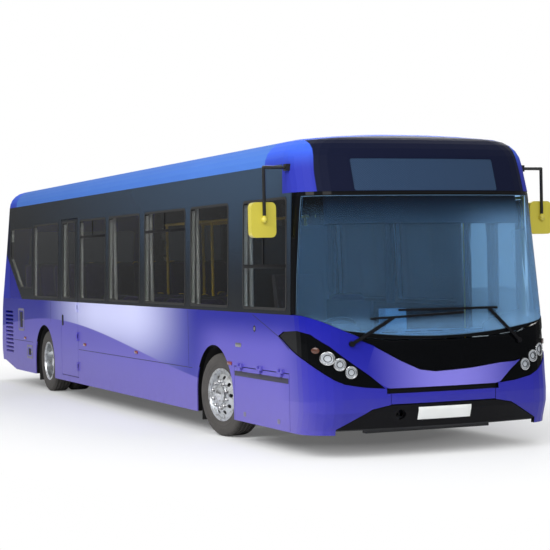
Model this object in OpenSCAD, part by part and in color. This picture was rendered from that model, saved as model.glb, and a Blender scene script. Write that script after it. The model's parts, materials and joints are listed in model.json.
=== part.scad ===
// Low-floor single-deck city bus, right-hand drive.
// Frame: +X forward, +Y to the nearside (door side), +Z up, origin on the road under the middle of the body.
// Positions along the bus are given from the front axle, forward positive, unless a comment says otherwise.

/* [Body] */
// Overall length between the bumpers
body_l = 11800; // [11600:10:12000]
// Width over the body sides
body_w = 2450; // [2420:5:2500]
// Height of the roof crown above the road
roof_h = 2870; // [2840:5:2920]
// Thickness of walls, roof and front panels
wall_t = 50; // [40:1:60]
// Inward lean of each side between waist and roof edge
side_lean = 30; // [10:1:45]
// Radius of the roof edge
roof_edge_r = 230; // [200:5:250]
// Radius of the bowed front, seen from above
front_bow_r = 5600; // [4800:100:8000]
// Radius of the front corners, seen from above
front_corner_r = 330; // [280:5:340]
// Radius of the rear corners, seen from above
rear_corner_r = 150; // [120:5:160]
// Gap between neighbouring outer panels
shut_gap = 5; // [3:0.5:8]

/* [Heights] */
// Bottom edge of the skirt
skirt_z = 210; // [190:5:230]
// Waist line, under the dark window band
waist_z = 1245; // [1235:1:1265]
// Bottom of the side glass
glass_low_z = 1290; // [1280:1:1320]
// Top of the side glass, below the roof crown
glass_drop = 590; // [585:5:670]
// Seam between window frames and cove panels, below the roof crown
cantrail_drop = 550; // [520:2:560]
// Lower edge of the roof panel, below the roof crown
cove_drop = 290; // [270:5:310]
// Top of the low floor
low_floor_z = 340; // [330:2:370]
// Top of the raised rear floor
high_floor_z = 740; // [720:5:790]

/* [Wheels] */
// Front axle to the front of the bumper
front_overhang = 2480; // [2450:5:2500]
// Rear axle to the rear of the bumper
rear_overhang = 2720; // [2690:5:2750]
// Outer radius of a tyre
tyre_r = 412; // [400:1:420]
// Width of one tyre
tyre_w = 248; // [235:1:255]
// Outer face of the tyres, inboard of the body side
tyre_face_in = 45; // [35:1:65]
// Space between the middles of the twin rear tyres
twin_pitch = 290; // [275:1:300]
// Radius of the rim flange
rim_r = 262; // [255:1:268]
// Kingpin, inboard of the middle of the front tyre
kingpin_in = 90; // [80:1:100]
// Turn of the front wheels as parked, to the left
steer_rest = 10; // [0:1:20]
// Radius of the wheel arches
arch_r = 515; // [505:1:525]
// Height of the middle of the wheel arches
arch_z = 390; // [380:1:400]

/* [Doors] */
// Rear edge of the entrance
entrance_x = 760; // [740:5:780]
// Recess of the entrance doors from the side
entrance_recess = 35; // [32:1:45]
// Thickness of an entrance leaf
leaf_t = 36; // [30:1:40]
// Clearance at the edges of doors and lids
door_gap = 8; // [6:0.5:10]

/* [Hidden] */

half_w = body_w / 2;
x_front = body_l / 2;
x_rear = -body_l / 2;
x_axle = x_front - front_overhang;
x_drive = x_rear + rear_overhang;
glass_high_z = roof_h - glass_drop;
cantrail_z = roof_h - cantrail_drop;
cove_z = roof_h - cove_drop;
// Places of the axles along the bus, and of the sides across it, in the lists below
list_axles = [0, -6600];
list_sides = [-1225, 1225];
glass_t = 8;
eps = 1;
// Clearance of pieces that rest against each other
seat_gap = 0.3;

// Seams along the bus: front mouldings, roof panel, rear mouldings
x_seam = x_front - 555;
x_dome = x_front - 740;
x_roof_front = x_front - 1150;
x_rear_low = x_rear + 370;
x_rear_high = x_rear + 720;
x_roof_rear = x_rear + 1130;

// Window pillars and doors of the two sides: [rear edge, front edge]
right_windows = [[800, 1830], [-660, 411], [-2172, -826], [-3546, -2356], [-4801, -3686], [-7150, -5855]];
left_windows = [[-660, 560], [-2172, -826], [-3546, -2356], [-4801, -3686], [-5708, -4945], [-7150, -5855]];
// Rear quarter light outline: [along, height]
quarter_low_z = glass_low_z + 120;
quarter_high_z = glass_high_z - 20;
quarter_light = [[-8500, quarter_high_z], [-8546, (quarter_low_z + quarter_high_z) / 2 + 8],
    [-7922, quarter_low_z], [-7270, quarter_low_z], [-7250, quarter_high_z]];
window_corner_r = 45;
escape_door = [-5712, -4925];
escape_door_z = 290;
escape_glass = [-5610, -5030];
escape_hinges = [430, 810, 1180];
locker = [545, 1868];
locker_high_z = 722;
locker_hinges = [720, 1206, 1700];
// Air louvre in the right skirt: [along, height] of its corners
louvre = [[-8880, 450], [-8420, 1090]];
louvre_slats = 11;

// Side of the front and rear above the road: [height, setback from the furthest point]
dome_arc = [for (a = [19, 34, 49, 64, 78]) [roof_h - 305 + 260 * sin(a), 581 - 260 * cos(a)]];
front_profile = concat(
    [[200, 70], [250, 60], [400, 5], [520, 0], [640, 12], [1000, 40], [waist_z, 71], [roof_h - 580, 215]],
    dome_arc, [[roof_h - 12, 760], [roof_h, 1100]]);
rear_arc = [for (a = [20, 38, 56, 74]) [roof_h - 265 + 225 * sin(a), 760 - 225 * cos(a)]];
rear_profile = concat(
    [[300, 70], [345, 40], [480, 0], [640, 0], [1100, 60], [waist_z, 105], [roof_h - 920, 336]],
    rear_arc, [[roof_h - 10, 900], [roof_h, 1090]]);

// Floor thickness and height of the floor along the bus: [rear edge of the stretch, top]
floor_t = 50;
engine_deck_z = 1100;
floor_steps = [[-4700, low_floor_z], [-5000, (low_floor_z + high_floor_z) / 2], [-8300, high_floor_z],
    [-8940, engine_deck_z]];

// Roof edge and crown
edge_y = half_w - side_lean - roof_edge_r;
edge_end = 80;
edge_steps = 5;
crown_steps = 4;
corner_steps = 6;
bow_steps = 10;
rear_bow_r = 9000;

function arc(cx, cy, r, a0, a1, n) =
    [for (k = [0 : n]) let (a = a0 + (a1 - a0) * k / n) [cx + r * cos(a), cy + r * sin(a)]];
function reverse(list) = [for (k = [len(list) - 1 : -1 : 0]) list[k]];
function flipped(list) = [for (p = list) [-p[0], p[1]]];
function grown_edge(list, d) = [for (p = list) [p[0], p[1] + d]];
// Place along the bus: beyond the axles at a fixed distance from them, in between at a fixed share
function from_axle(x) = x > list_axles[0] ? x_axle + x :
    x > list_axles[1] ? x_axle + x * (x_drive - x_axle) / list_axles[1] : x_drive + x - list_axles[1];
function along(list) = [for (p = list) [from_axle(p[0]), p[1]]];
// Place across the bus, at a fixed share of the width
function wide(y) = y * half_w / list_sides[1];
function across(list) = [for (p = list) [wide(p[0]), p[1]]];
function unit(v) = v / norm(v);
// A closed outline drawn in by d
function inset(list, d) = let (n = len(list)) [for (k = [0 : n - 1])
    let (u = unit(list[k] - list[(k + n - 1) % n]), v = unit(list[(k + 1) % n] - list[k]))
        list[k] + d * [-u[1] - v[1], u[0] + v[0]] / (1 + u * v)];

// Corner points of a rounded rectangle
function round_rect(x0, z0, x1, z1, r) = concat(
    arc(x1 - r, z1 - r, r, 0, 90, 4), arc(x0 + r, z1 - r, r, 90, 180, 4),
    arc(x0 + r, z0 + r, r, 180, 270, 4), arc(x1 - r, z0 + r, r, 270, 360, 4));

// Roof section of one half at inset i, from the cove to the middle of the crown: [half width, height]
function edge_arc(i) = arc(edge_y, cove_z, roof_edge_r - i, 0, edge_end, edge_steps);
function edge_top(i) = edge_arc(i)[edge_steps];
function crown(i) = let (e = edge_top(i), drop = roof_h - i - e[1])
    [for (k = [1 : crown_steps]) let (t = 1 - k / crown_steps) [e[0] * t, roof_h - i - drop * t * t]];
function roof_half(i) = concat(edge_arc(i), crown(i));

// Half width of the body at height z and inset i
function half_at(z, i) = let (e = edge_top(i))
    z <= waist_z ? half_w - i :
    z <= cove_z ? half_w - i - side_lean * (z - waist_z) / (cove_z - waist_z) :
    z <= e[1] ? edge_y + sqrt(max(pow(roof_edge_r - i, 2) - pow(z - cove_z, 2), 1)) :
    e[0] * sqrt(max(roof_h - i - z, 0.1) / (roof_h - i - e[1]));

// Wall section between two heights and two insets
function wall_line(z0, z1, i) = concat([[half_at(z0, i), z0]],
    z0 < waist_z && z1 > waist_z ? [[half_w - i, waist_z]] : [], [[half_at(z1, i), z1]]);
function wall_section(z0, z1, i0, i1) = concat(wall_line(z0, z1, i0), reverse(wall_line(z0, z1, i1)));

// Plan line round one end of the body: tip at x = tip, bow radius b, corner radius c
function end_line(h, i, tip, b, c, x0) =
    let (r = min(c, 0.75 * (h + i), max(tip - x0 - 10, 20) + i) - i, rb = b - i, a = asin((h - r) / (rb - r)),
        cx = tip - i - rb + (rb - r) * cos(a), cy = h - r)
    concat(arc(cx, -cy, r, -90, -a, corner_steps),
        [for (k = [1 : bow_steps - 1]) let (t = -a + 2 * a * k / bow_steps)
            [tip - i - rb + rb * cos(t), rb * sin(t)]],
        arc(cx, cy, r, a, 90, corner_steps));
function front_line(z, i) =
    end_line(half_at(z, i), i, x_front - lookup(z, front_profile), front_bow_r, front_corner_r, x_roof_front);
function rear_line(z, i) =
    end_line(half_at(z, i), i, -x_rear - lookup(z, rear_profile), rear_bow_r, rear_corner_r, -x_roof_rear);
function plan_line(z, i, x0, rear) = let (h = half_at(z, i))
    concat([[x0, -h]], rear ? rear_line(z, i) : front_line(z, i), [[x0, h]]);

// Heights at which a profile bends between z0 and z1
function bends(profile, z0, z1) = concat([z0],
    [for (p = profile) if (p[0] > z0 + 15 && p[0] < z1 - 15) p[0]], [z1]);
function roof_levels(i) = concat([for (k = [1 : edge_steps]) edge_arc(i)[k][1]],
    [for (k = [0 : crown_steps - 2]) crown(i)[k][1]], [roof_h - i - 0.2]);

function quads(list) = [for (q = list) each [[q[0], q[1], q[2]], [q[0], q[2], q[3]]]];

// A skin round one end of the body, between two insets, built from plan lines at the listed heights
module end_skin(levels, i0, i1, x0, rear = false) {
    lines = [for (z = levels, i = [i0, i1]) [for (p = plan_line(z, i, x0, rear)) [p[0], p[1], z]]];
    n = len(lines[0]);
    m = len(levels) - 1;
    function o(k, j) = 2 * n * k + j;
    function v(k, j) = 2 * n * k + n + j;
    sides = [for (k = [0 : m - 1], j = [0 : n - 2]) each [
        [o(k, j), o(k + 1, j), o(k + 1, j + 1), o(k, j + 1)],
        [v(k, j), v(k, j + 1), v(k + 1, j + 1), v(k + 1, j)]]];
    caps = [for (j = [0 : n - 2]) each [
        [o(0, j), o(0, j + 1), v(0, j + 1), v(0, j)],
        [o(m, j), v(m, j), v(m, j + 1), o(m, j + 1)]]];
    ends = [for (k = [0 : m - 1]) each [
        [o(k, 0), v(k, 0), v(k + 1, 0), o(k + 1, 0)],
        [o(k, n - 1), o(k + 1, n - 1), v(k + 1, n - 1), v(k, n - 1)]]];
    polyhedron([for (line = lines) each line], quads(concat(sides, caps, ends)), convexity = 6);
}

// A solid end of the body, built from closed plan outlines at the listed heights
module end_solid(levels, i, x0, rear = false) {
    lines = [for (z = levels) [for (p = plan_line(z, i, x0, rear)) [p[0], p[1], z]]];
    n = len(lines[0]);
    m = len(levels) - 1;
    sides = [for (k = [0 : m - 1], j = [0 : n - 1]) let (q = (j + 1) % n)
        [n * k + j, n * (k + 1) + j, n * (k + 1) + q, n * k + q]];
    polyhedron([for (line = lines) each line],
        concat(quads(sides), [[for (j = [0 : n - 1]) j], [for (j = [n - 1 : -1 : 0]) n * m + j]]),
        convexity = 6);
}

// Hollow dome of one end, from height z0 to the crown
module end_dome(profile, z0, x0, rear = false) {
    difference() {
        end_solid(concat(bends(profile, z0, cove_z), roof_levels(0)), 0, x0, rear);
        end_solid(concat(bends(profile, z0 - eps, cove_z), roof_levels(wall_t)), wall_t, x0 - eps, rear);
    }
}

module along_x(x0, x1) {
    translate([x0, 0, 0]) rotate([90, 0, 90]) linear_extrude(x1 - x0) children();
}
module along_y(y0, y1) {
    translate([0, y1, 0]) rotate([90, 0, 0]) linear_extrude(y1 - y0) children();
}
module box(x0, x1, y0, y1, z0, z1) {
    translate([x0, y0, z0]) cube([x1 - x0, y1 - y0, z1 - z0]);
}
// side is 1 for the nearside (+Y) and -1 for the offside (-Y)
module on_side(side) {
    if (side > 0) children();
    else mirror([0, 1, 0]) children();
}
module both_sides() {
    for (side = [-1, 1]) on_side(side) children();
}
// Half of a hinge about the Z axis, outward +Y: side -1 is the door's middle knuckle, 1 the two of the wall
hinge_out = 16;
hinge_r = 9;
hinge_l = 56;
hinge_arm = 34;
module hinge_half(side) {
    low = side < 0 ? [-hinge_l / 2] : [-hinge_l - seat_gap, hinge_l / 2 + seat_gap];
    l = side < 0 ? hinge_l : hinge_l / 2;
    for (z = low) translate([0, 0, z]) {
        cylinder(r = hinge_r, h = l, $fn = 32);
        box(side < 0 ? -hinge_arm : door_gap / 2, side < 0 ? -door_gap / 2 : hinge_arm,
            -hinge_out - wall_t / 2, hinge_r - 2, 0, l);
    }
}
module rear_faced() {
    rotate([0, 0, 180]) children();
}

// Side walls

module wall(x0, x1, z0, z1, i0 = 0, i1 = wall_t) {
    along_x(x0, x1) polygon(wall_section(z0, z1, i0, i1));
}
module side_prism(points) {
    along_y(half_w / 2, body_w) polygon(along(points));
}
module window_prism(w, d = 0) {
    side_prism(round_rect(w[0] + d, glass_low_z + d, w[1] - d, glass_high_z - d, window_corner_r - d));
}
module arch_prism(x, r, y0, y1) {
    translate([x, y0, arch_z]) rotate([-90, 0, 0]) cylinder(r = r, h = y1 - y0, $fn = 96);
    box(x - r, x + r, y0, y1, arch_z - r - eps, arch_z);
}
module arches(y0, y1, grow = 0) {
    arch_prism(x_axle, arch_r + grow, y0, y1);
    arch_prism(x_drive, arch_r + grow, y0, y1);
}
module skirt_blank() {
    difference() {
        wall(x_rear_low, x_seam, skirt_z, waist_z);
        arches(half_w / 2, body_w);
        // Departure slope under the rear overhang
        side_prism([[-8255, skirt_z - eps], [-9400, 395], [-9400, skirt_z - 50]]);
    }
}
module escape_opening(grow) {
    box(from_axle(escape_door[0]) - grow, from_axle(escape_door[1]) + grow, half_w / 2, body_w,
        escape_door_z - grow, cantrail_z);
}
module locker_opening(grow) {
    box(from_axle(locker[0]) - grow, from_axle(locker[1]) + grow, half_w / 2, body_w,
        0, locker_high_z + grow);
}
module escape_hinge(side) {
    for (z = escape_hinges)
        translate([from_axle(escape_door[1]) + door_gap / 2, half_w + hinge_out, z]) hinge_half(side);
}
module locker_hinge(side) {
    for (x = locker_hinges)
        translate([from_axle(x), half_w + hinge_out, locker_high_z + door_gap / 2])
            rotate([0, -90, 0]) hinge_half(side);
}
module louvre_slots() {
    pitch = (louvre[1][1] - louvre[0][1]) / louvre_slats;
    for (k = [0 : louvre_slats - 1])
        translate([from_axle(louvre[0][0]), half_w - wall_t / 2, louvre[0][1] + (k + 0.5) * pitch])
            rotate([-35, 0, 0])
                translate([0, -wall_t, -pitch / 4])
                    cube([louvre[1][0] - louvre[0][0], 2 * wall_t, pitch / 2]);
}
module right_skirt() {
    color("mediumslateblue") on_side(-1) {
        difference() {
            skirt_blank();
            escape_opening(door_gap);
            locker_opening(door_gap);
            louvre_slots();
            lamp_prism(0);
        }
        escape_hinge(1);
        locker_hinge(1);
    }
}
module left_skirt() {
    color("mediumslateblue") difference() {
        skirt_blank();
        box(from_axle(entrance_x), x_front, half_w / 2, body_w, low_floor_z - floor_t, roof_h);
    }
}
module window_wall(x0, x1, windows) {
    difference() {
        wall(x0, x1, waist_z, cantrail_z);
        for (w = windows) window_prism(w);
        side_prism(quarter_light);
    }
}
module right_window_frame() {
    color("darkslategray") on_side(-1) difference() {
        window_wall(x_rear_high, x_seam, right_windows);
        escape_opening(door_gap);
    }
}
module left_window_frame() {
    color("darkslategray") window_wall(x_rear_high, from_axle(entrance_x), left_windows);
}
module panes(windows) {
    intersection() {
        wall(x_rear_high, x_seam, waist_z, cantrail_z, 2, 2 + glass_t);
        union() {
            for (w = windows) window_prism(w);
            side_prism(quarter_light);
        }
    }
}
module right_windows_glass() {
    color("slategray", 0.5) on_side(-1) panes(right_windows);
}
module left_windows_glass() {
    color("slategray", 0.5) panes(left_windows);
}
module cove_panels() {
    color("darkslategray") both_sides() wall(x_rear_high, x_dome, cantrail_z, cove_z);
}
module roof_panel() {
    outer = roof_half(0);
    inner = roof_half(wall_t);
    color("royalblue") along_x(x_roof_rear, x_roof_front)
        polygon(concat(outer, flipped(reverse(outer)), flipped(inner), reverse(inner)));
}

// Front mouldings, drawn as seen from ahead: [across to the nearside, height]

far_y = body_w;
// Lower edge of the windscreen, offside to nearside
screen_low = concat([[-far_y, waist_z + 5], [-half_w, waist_z + 5]],
    across([[-1124, 1208], [-902, 1105], [-774, 1050], [-500, 1020], [0, 1010], [500, 1020], [800, 1050],
        [1020, 1110]]),
    [[half_w, 1190], [far_y, 1190]]);
// Lower edge of the dark hood under the windscreen
hood_low = concat(
    across([[-774, 1024], [-642, 968], [-419, 843], [-234, 758], [-80, 735], [264, 750], [586, 783],
        [760, 790], [1000, 850]]),
    [[half_w, 985], [far_y, 985]]);
// Front panel between the headlamps, below the hood
panel_low_z = 602;
bumper_top_z = 556;
valance_top_z = 460;
bumper_half = wide(520);
slot_half = wide(555);
// Lamp cluster along its slanted plane through the corner, measured inward from the corner, and height
lamp_upper = [[-596, 1052], [-514, 1095], [-296, 1111], [-150, 1084], [30, 976], [180, 843], [326, 717],
    [442, 600]];
lamp_lower = [[291, 616], [146, 648], [71, 685], [-55, 763], [-203, 850], [-408, 943]];
// Round lamps of a cluster: [across, height, radius]
lamps = [for (q = [[1058, 876, 52], [962, 822, 48], [866, 752, 48]]) [wide(q[0]), q[1], wide(q[2])]];
display = [[wide(-712), roof_h - 545], [wide(720), roof_h - 258]];

module ahead_prism(points) {
    along_x(0, x_front + 100) polygon(points);
}
module screen_prism(gap) {
    ahead_prism(concat(grown_edge(screen_low, gap), [[far_y, cove_z], [-far_y, cove_z]]));
}
module hood_prism(gap) {
    top = reverse([for (p = screen_low) if (p[0] > wide(-850)) p]);
    ahead_prism(concat(grown_edge(hood_low, gap), grown_edge(top, -gap)));
}
module panel_prism(gap) {
    low = across([[860, 700], [860, 815 - gap]]);
    top = reverse([for (p = hood_low) if (p[0] > wide(-650) && p[0] < wide(790)) p]);
    ahead_prism(concat([[25 - slot_half, panel_low_z], [slot_half - 25, panel_low_z]], low,
        grown_edge(top, -gap), across([[-650, 962], [-738, 744], [-700, 690]])));
}
module bumper_prism(gap) {
    ahead_prism([[-bumper_half + gap, valance_top_z + gap], [bumper_half - gap, valance_top_z + gap],
        [bumper_half - gap, bumper_top_z], [-bumper_half + gap, bumper_top_z]]);
}
module valance_prism(gap) {
    end = wide(995) - gap;
    bend = wide(690);
    ahead_prism([[-end, 0], [-end, 262], [-bend, 428 - gap], [-bumper_half, valance_top_z - gap],
        [bumper_half, valance_top_z - gap], [bend, 428 - gap], [end, 262], [end, 0]]);
}
// Slanted cutter of the lamp cluster on the nearside corner
module lamp_prism(gap) {
    points = across(flipped(concat(lamp_upper, lamp_lower)));
    translate([x_front, half_w, 0]) rotate([0, 0, 45]) along_x(-700, 700) polygon(inset(points, gap));
}
module front_skin(z0, z1, i0 = 0, i1 = wall_t) {
    end_skin(bends(front_profile, z0, z1), i0, i1, x_seam);
}
module slot_prism() {
    ahead_prism([[-slot_half, bumper_top_z - eps], [slot_half, bumper_top_z - eps],
        [slot_half, panel_low_z + 3], [-slot_half, panel_low_z + 3]]);
}
module windscreen() {
    color("lightsteelblue", 0.4) intersection() {
        end_skin(bends(front_profile, 980, cantrail_z), 3, 3 + 2 * glass_t, x_dome);
        screen_prism(shut_gap);
        box(x_seam, body_l, -body_w, body_w, 0, roof_h);
    }
}
module front_hood() {
    color("black") difference() {
        intersection() {
            front_skin(700, 1240);
            hood_prism(shut_gap);
        }
        on_side(1) lamp_prism(0);
        // The hood ends above the tail of the cluster
        box(x_seam - eps, x_seam + 40, 0, body_w, 0, lamp_lower[5][1] + 50);
    }
}
module front_panel() {
    color("mediumslateblue") difference() {
        intersection() {
            front_skin(590, 1000);
            panel_prism(shut_gap);
        }
        both_sides() lamp_prism(0);
    }
}
module front_corners() {
    color("mediumslateblue") difference() {
        front_skin(skirt_z, waist_z);
        screen_prism(0);
        hood_prism(0);
        panel_prism(0);
        slot_prism();
        bumper_prism(0);
        valance_prism(0);
        both_sides() lamp_prism(0);
    }
}
module front_bumper() {
    color("slateblue") intersection() {
        front_skin(450, 565);
        bumper_prism(shut_gap);
    }
}
// Towing socket: [across, height]
tow = [-420, 370];
tow_thread_r = 15;
tow_hole_r = 45;
// Two upright joints through the towing hole part the long lengths from the small covers above and below it
module tow_joints() {
    for (side = [-1, 1])
        translate([0, tow[0] + side * 0.6 * tow_hole_r, 0])
            box(0, x_front, -seat_gap / 2, seat_gap / 2, 0, bumper_top_z + seat_gap);
}
module front_valance() {
    color("black") difference() {
        intersection() {
            front_skin(255, 465, 6, wall_t);
            valance_prism(shut_gap);
        }
        tow_bore(0, tow_hole_r);
        tow_joints();
    }
}
module display_prism() {
    ahead_prism(round_rect(display[0][0], display[0][1], display[1][0], display[1][1], 20));
}
module front_dome() {
    color("darkslateblue") difference() {
        end_dome(front_profile, cantrail_z, x_roof_front);
        box(0, x_dome, -body_w, body_w, cantrail_z - 10, cove_z);
        display_prism();
    }
}
module destination_glass() {
    color("black") intersection() {
        end_skin(bends(front_profile, cantrail_z, cove_z + 50), 4, 4 + glass_t, x_seam);
        display_prism();
    }
}
lamp_depth = 30;
module lamp_skin(inset) {
    end_skin(bends(front_profile, 590, 1120), inset, wall_t + lamp_depth, x_seam - 400);
}
module lamp_bores(gap) {
    for (lamp = lamps)
        translate([x_seam, lamp[0], lamp[1]]) rotate([0, 90, 0])
            cylinder(r = lamp[2] - gap, h = x_front - x_seam, $fn = 48);
}
module headlamp_housings() {
    color("black") for (side = [-1, 1]) on_side(side) difference() {
        intersection() {
            lamp_skin(8);
            lamp_prism(seat_gap);
            // On the nearside the entrance ends the cluster
            box(side < 0 ? 0 : x_seam + shut_gap, x_front, 500, body_w, 0, roof_h);
        }
        lamp_bores(0);
    }
}
module headlamps() {
    color("whitesmoke") both_sides() intersection() {
        lamp_skin(16);
        lamp_bores(seat_gap);
    }
}

// Steel frame behind the front mouldings
frame_t = 15;
module front_frame() {
    color("dimgray") difference() {
        front_skin(skirt_z, waist_z, wall_t + seat_gap, wall_t + frame_t);
        box(0, x_front, -body_w, body_w, 0, skirt_z + 30);
        screen_prism(-10);
        slot_prism();
        both_sides() lamp_prism(-8);
        tow_bore(0, tow_hole_r);
        // The lower beam is bolted to the frame along a level joint
        box(0, x_front, -body_w, body_w, bumper_top_z, bumper_top_z + seat_gap);
        tow_joints();
    }
}

// Rear mouldings, drawn facing forward and turned round

rear_window_half = half_w - 395;
upper_h = roof_h - waist_z;
rear_window = [[-rear_window_half, waist_z + 0.194 * upper_h], [rear_window_half, waist_z + 0.606 * upper_h]];
engine_half = half_w - 405;
engine_door = [[-engine_half, 545], [engine_half, 1425]];
engine_slats = 9;
engine_hinges = [-320, 320];
rear_bumper_z = [318, 520];
// Rear lamps on each side: heights
rear_lamp_y = half_w - 240;
rear_lamps = [760, 890, 1020, 1150];
rear_lamp_r = 52;

module behind_prism(corners, r, grow = 0) {
    low = corners[0] - [grow, grow];
    high = corners[1] + [grow, grow];
    ahead_prism(round_rect(low[0], low[1], high[0], high[1], r));
}
module rear_skin(z0, z1, i0 = 0, i1 = wall_t) {
    end_skin(bends(rear_profile, z0, z1), i0, i1, -x_rear_low, true);
}
module rear_bores(gap) {
    both_sides() for (z = rear_lamps)
        translate([0, rear_lamp_y, z]) rotate([0, 90, 0])
            cylinder(r = rear_lamp_r - gap, h = body_l, $fn = 48);
}
module engine_hinge(side) {
    x = -x_rear - lookup(engine_door[1][1], rear_profile) + hinge_out;
    for (y = engine_hinges)
        translate([x, y, engine_door[1][1] + door_gap / 2]) rotate([-90, 0, 0]) rotate([0, 0, -90])
            hinge_half(side);
}
module rear_corners() {
    color("mediumslateblue") rear_faced() difference() {
        rear_skin(rear_bumper_z[1], waist_z);
        behind_prism(engine_door, 30, door_gap);
        rear_bores(0);
    }
}
module rear_bumper() {
    color("slateblue") rear_faced() rear_skin(rear_bumper_z[0], rear_bumper_z[1]);
}
module rear_lamp_lenses() {
    color("firebrick") rear_faced() intersection() {
        rear_skin(rear_bumper_z[1], waist_z, 4, wall_t);
        rear_bores(seat_gap);
    }
}
module rear_dome() {
    color("darkslateblue") rear_faced() {
        difference() {
            end_dome(rear_profile, waist_z, -x_roof_rear, true);
            box(0, -x_rear_high, -body_w, body_w, waist_z - 10, cove_z);
            behind_prism(rear_window, 60);
            behind_prism(engine_door, 30, door_gap);
        }
        engine_hinge(1);
    }
}
module rear_window_glass() {
    color("slategray", 0.5) rear_faced() intersection() {
        end_skin(bends(rear_profile, rear_window[0][1] - 10, rear_window[1][1] + 10), 3, 3 + glass_t,
            -x_rear_high, true);
        behind_prism(rear_window, 60);
    }
}
module engine_cover() {
    pitch = 44;
    slat = engine_half - 260;
    color("slateblue") rear_faced() {
        difference() {
            intersection() {
                rear_skin(rear_bumper_z[1], 1440);
                behind_prism(engine_door, 30);
            }
            for (k = [0 : engine_slats - 1])
                translate([-x_rear - 500, -slat, 640 + k * pitch]) rotate([0, -25, 0])
                    cube([1000, 2 * slat, pitch / 2.2]);
        }
        engine_hinge(-1);
    }
}

// Doors and lids

module escape_door_leaf() {
    color("darkslateblue") on_side(-1) {
        difference() {
            wall(from_axle(escape_door[0]), from_axle(escape_door[1]), escape_door_z, cantrail_z - door_gap);
            window_prism(escape_glass);
        }
        escape_hinge(-1);
    }
}
module escape_door_glass() {
    color("slategray", 0.5) on_side(-1) intersection() {
        wall(from_axle(escape_door[0]), from_axle(escape_door[1]), waist_z, cantrail_z, 2, 2 + glass_t);
        window_prism(escape_glass);
    }
}
module locker_door() {
    color("mediumslateblue") on_side(-1) {
        wall(from_axle(locker[0]), from_axle(locker[1]), skirt_z, locker_high_z);
        locker_hinge(-1);
    }
}

// Entrance: each leaf glides on an arm that turns with a post beside the jamb
entrance_mid = (from_axle(entrance_x) + x_seam) / 2;
leaf_y = half_w - entrance_recess - leaf_t / 2;
leaf_z = [low_floor_z + 52, cantrail_z - 70];
post_in = 34;
post_r = 16;
leaf_lead = 20;
leaf_clear = 30;
arm_reach = (entrance_mid - 4 - leaf_lead - from_axle(entrance_x) - post_in) / 2;
arm_h = 26;
arm_w = 30;
pivot_r = 8;
fit = 0.5;
leaf_rail = 75;
// end is -1 for the rear leaf and 1 for the front one; the leaf is drawn from its post towards the middle
module at_post(end) {
    translate([end < 0 ? from_axle(entrance_x) + post_in : x_seam - post_in, leaf_y, 0])
        if (end < 0) children();
        else mirror([1, 0, 0]) children();
}
module leaf_outline(d) {
    x0 = leaf_clear;
    x1 = 2 * arm_reach + leaf_lead;
    polygon(round_rect(x0 + d, leaf_z[0] + d, x1 - d, leaf_z[1] - d, d > 0 ? 30 : 6));
}
module entrance_leaf(end) {
    color("black") at_post(end) difference() {
        along_y(-leaf_t / 2, leaf_t / 2) leaf_outline(0);
        along_y(-leaf_t, leaf_t) leaf_outline(leaf_rail);
        for (z = [leaf_z[0] - 1, leaf_z[1] - 24])
            translate([arm_reach, 0, z]) cylinder(r = pivot_r + fit, h = 25, $fn = 32);
    }
}
module entrance_pane(end) {
    color("slategray", 0.5) at_post(end) along_y(-glass_t / 2, glass_t / 2) leaf_outline(leaf_rail);
}
module entrance_post(end) {
    color("gold") at_post(end) {
        translate([0, 0, low_floor_z + seat_gap])
            cylinder(r = post_r, h = cantrail_z - low_floor_z - 10, $fn = 32);
        for (s = [-1, 1]) {
            z = s < 0 ? leaf_z[0] - 6 - arm_h : leaf_z[1] + 6;
            translate([0, -arm_w / 2, z]) cube([arm_reach + arm_w / 2, arm_w, arm_h]);
            translate([arm_reach, 0, s < 0 ? z : z - 26]) cylinder(r = pivot_r, h = arm_h + 26, $fn = 32);
        }
    }
}
module entrance_leaf_rear() { entrance_leaf(-1); }
module entrance_leaf_front() { entrance_leaf(1); }
module entrance_pane_rear() { entrance_pane(-1); }
module entrance_pane_front() { entrance_pane(1); }
module entrance_post_rear() { entrance_post(-1); }
module entrance_post_front() { entrance_post(1); }

// Floor, frame and wheel housings

liner_gap = 6;
liner_t = 20;
tyre_face_y = half_w - tyre_face_in;
liner_y = tyre_face_y - tyre_w - twin_pitch - 42;
// Dropped front axle: half width, heights of its beam and of its kingpin eyes; tube of the rear one
axle_w = 55;
axle_z = [190, 270];
eye_z = [300, 362];
eye_r = 42;
axle_tube_r = 80;
function floor_top(x) = let (s = [for (q = floor_steps) if (x > q[0]) q[1]])
    len(s) > 0 ? s[0] : engine_deck_z;
floor_front = 1925;
module floor_deck() {
    n = len(floor_steps);
    edges = concat([floor_front], [for (s = floor_steps) s[0]]);
    top = [for (k = [0 : n - 1]) each [[edges[k], floor_steps[k][1]], [edges[k + 1], floor_steps[k][1]]]];
    low = [for (k = [n - 1 : -1 : 0]) each [
        [edges[k + 1] - (k < n - 1 ? floor_t : 0), floor_steps[k][1] - floor_t],
        [edges[k] - (k > 0 ? floor_t : 0), floor_steps[k][1] - floor_t]]];
    color("gray") difference() {
        union() {
            along_y(-half_w + wall_t, half_w - wall_t) polygon(along(concat(top, low)));
            box(x_seam - eps, x_seam + 330, -wide(850), wide(850), low_floor_z - floor_t, low_floor_z);
            box(from_axle(entrance_x), x_seam, half_w - wall_t - eps, half_w - 4,
                low_floor_z - floor_t, low_floor_z);
        }
        both_sides() arches(liner_y, half_w, liner_gap + liner_t);
        // Room for the two side doors and the towing socket
        on_side(-1) translate([0, half_w / 2 - wall_t - door_gap, 0]) {
            escape_opening(door_gap);
            locker_opening(door_gap);
        }
        box(from_axle(2070), x_front, tow[0] - 70, tow[0] + 70, 0, roof_h);
    }
}
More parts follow.
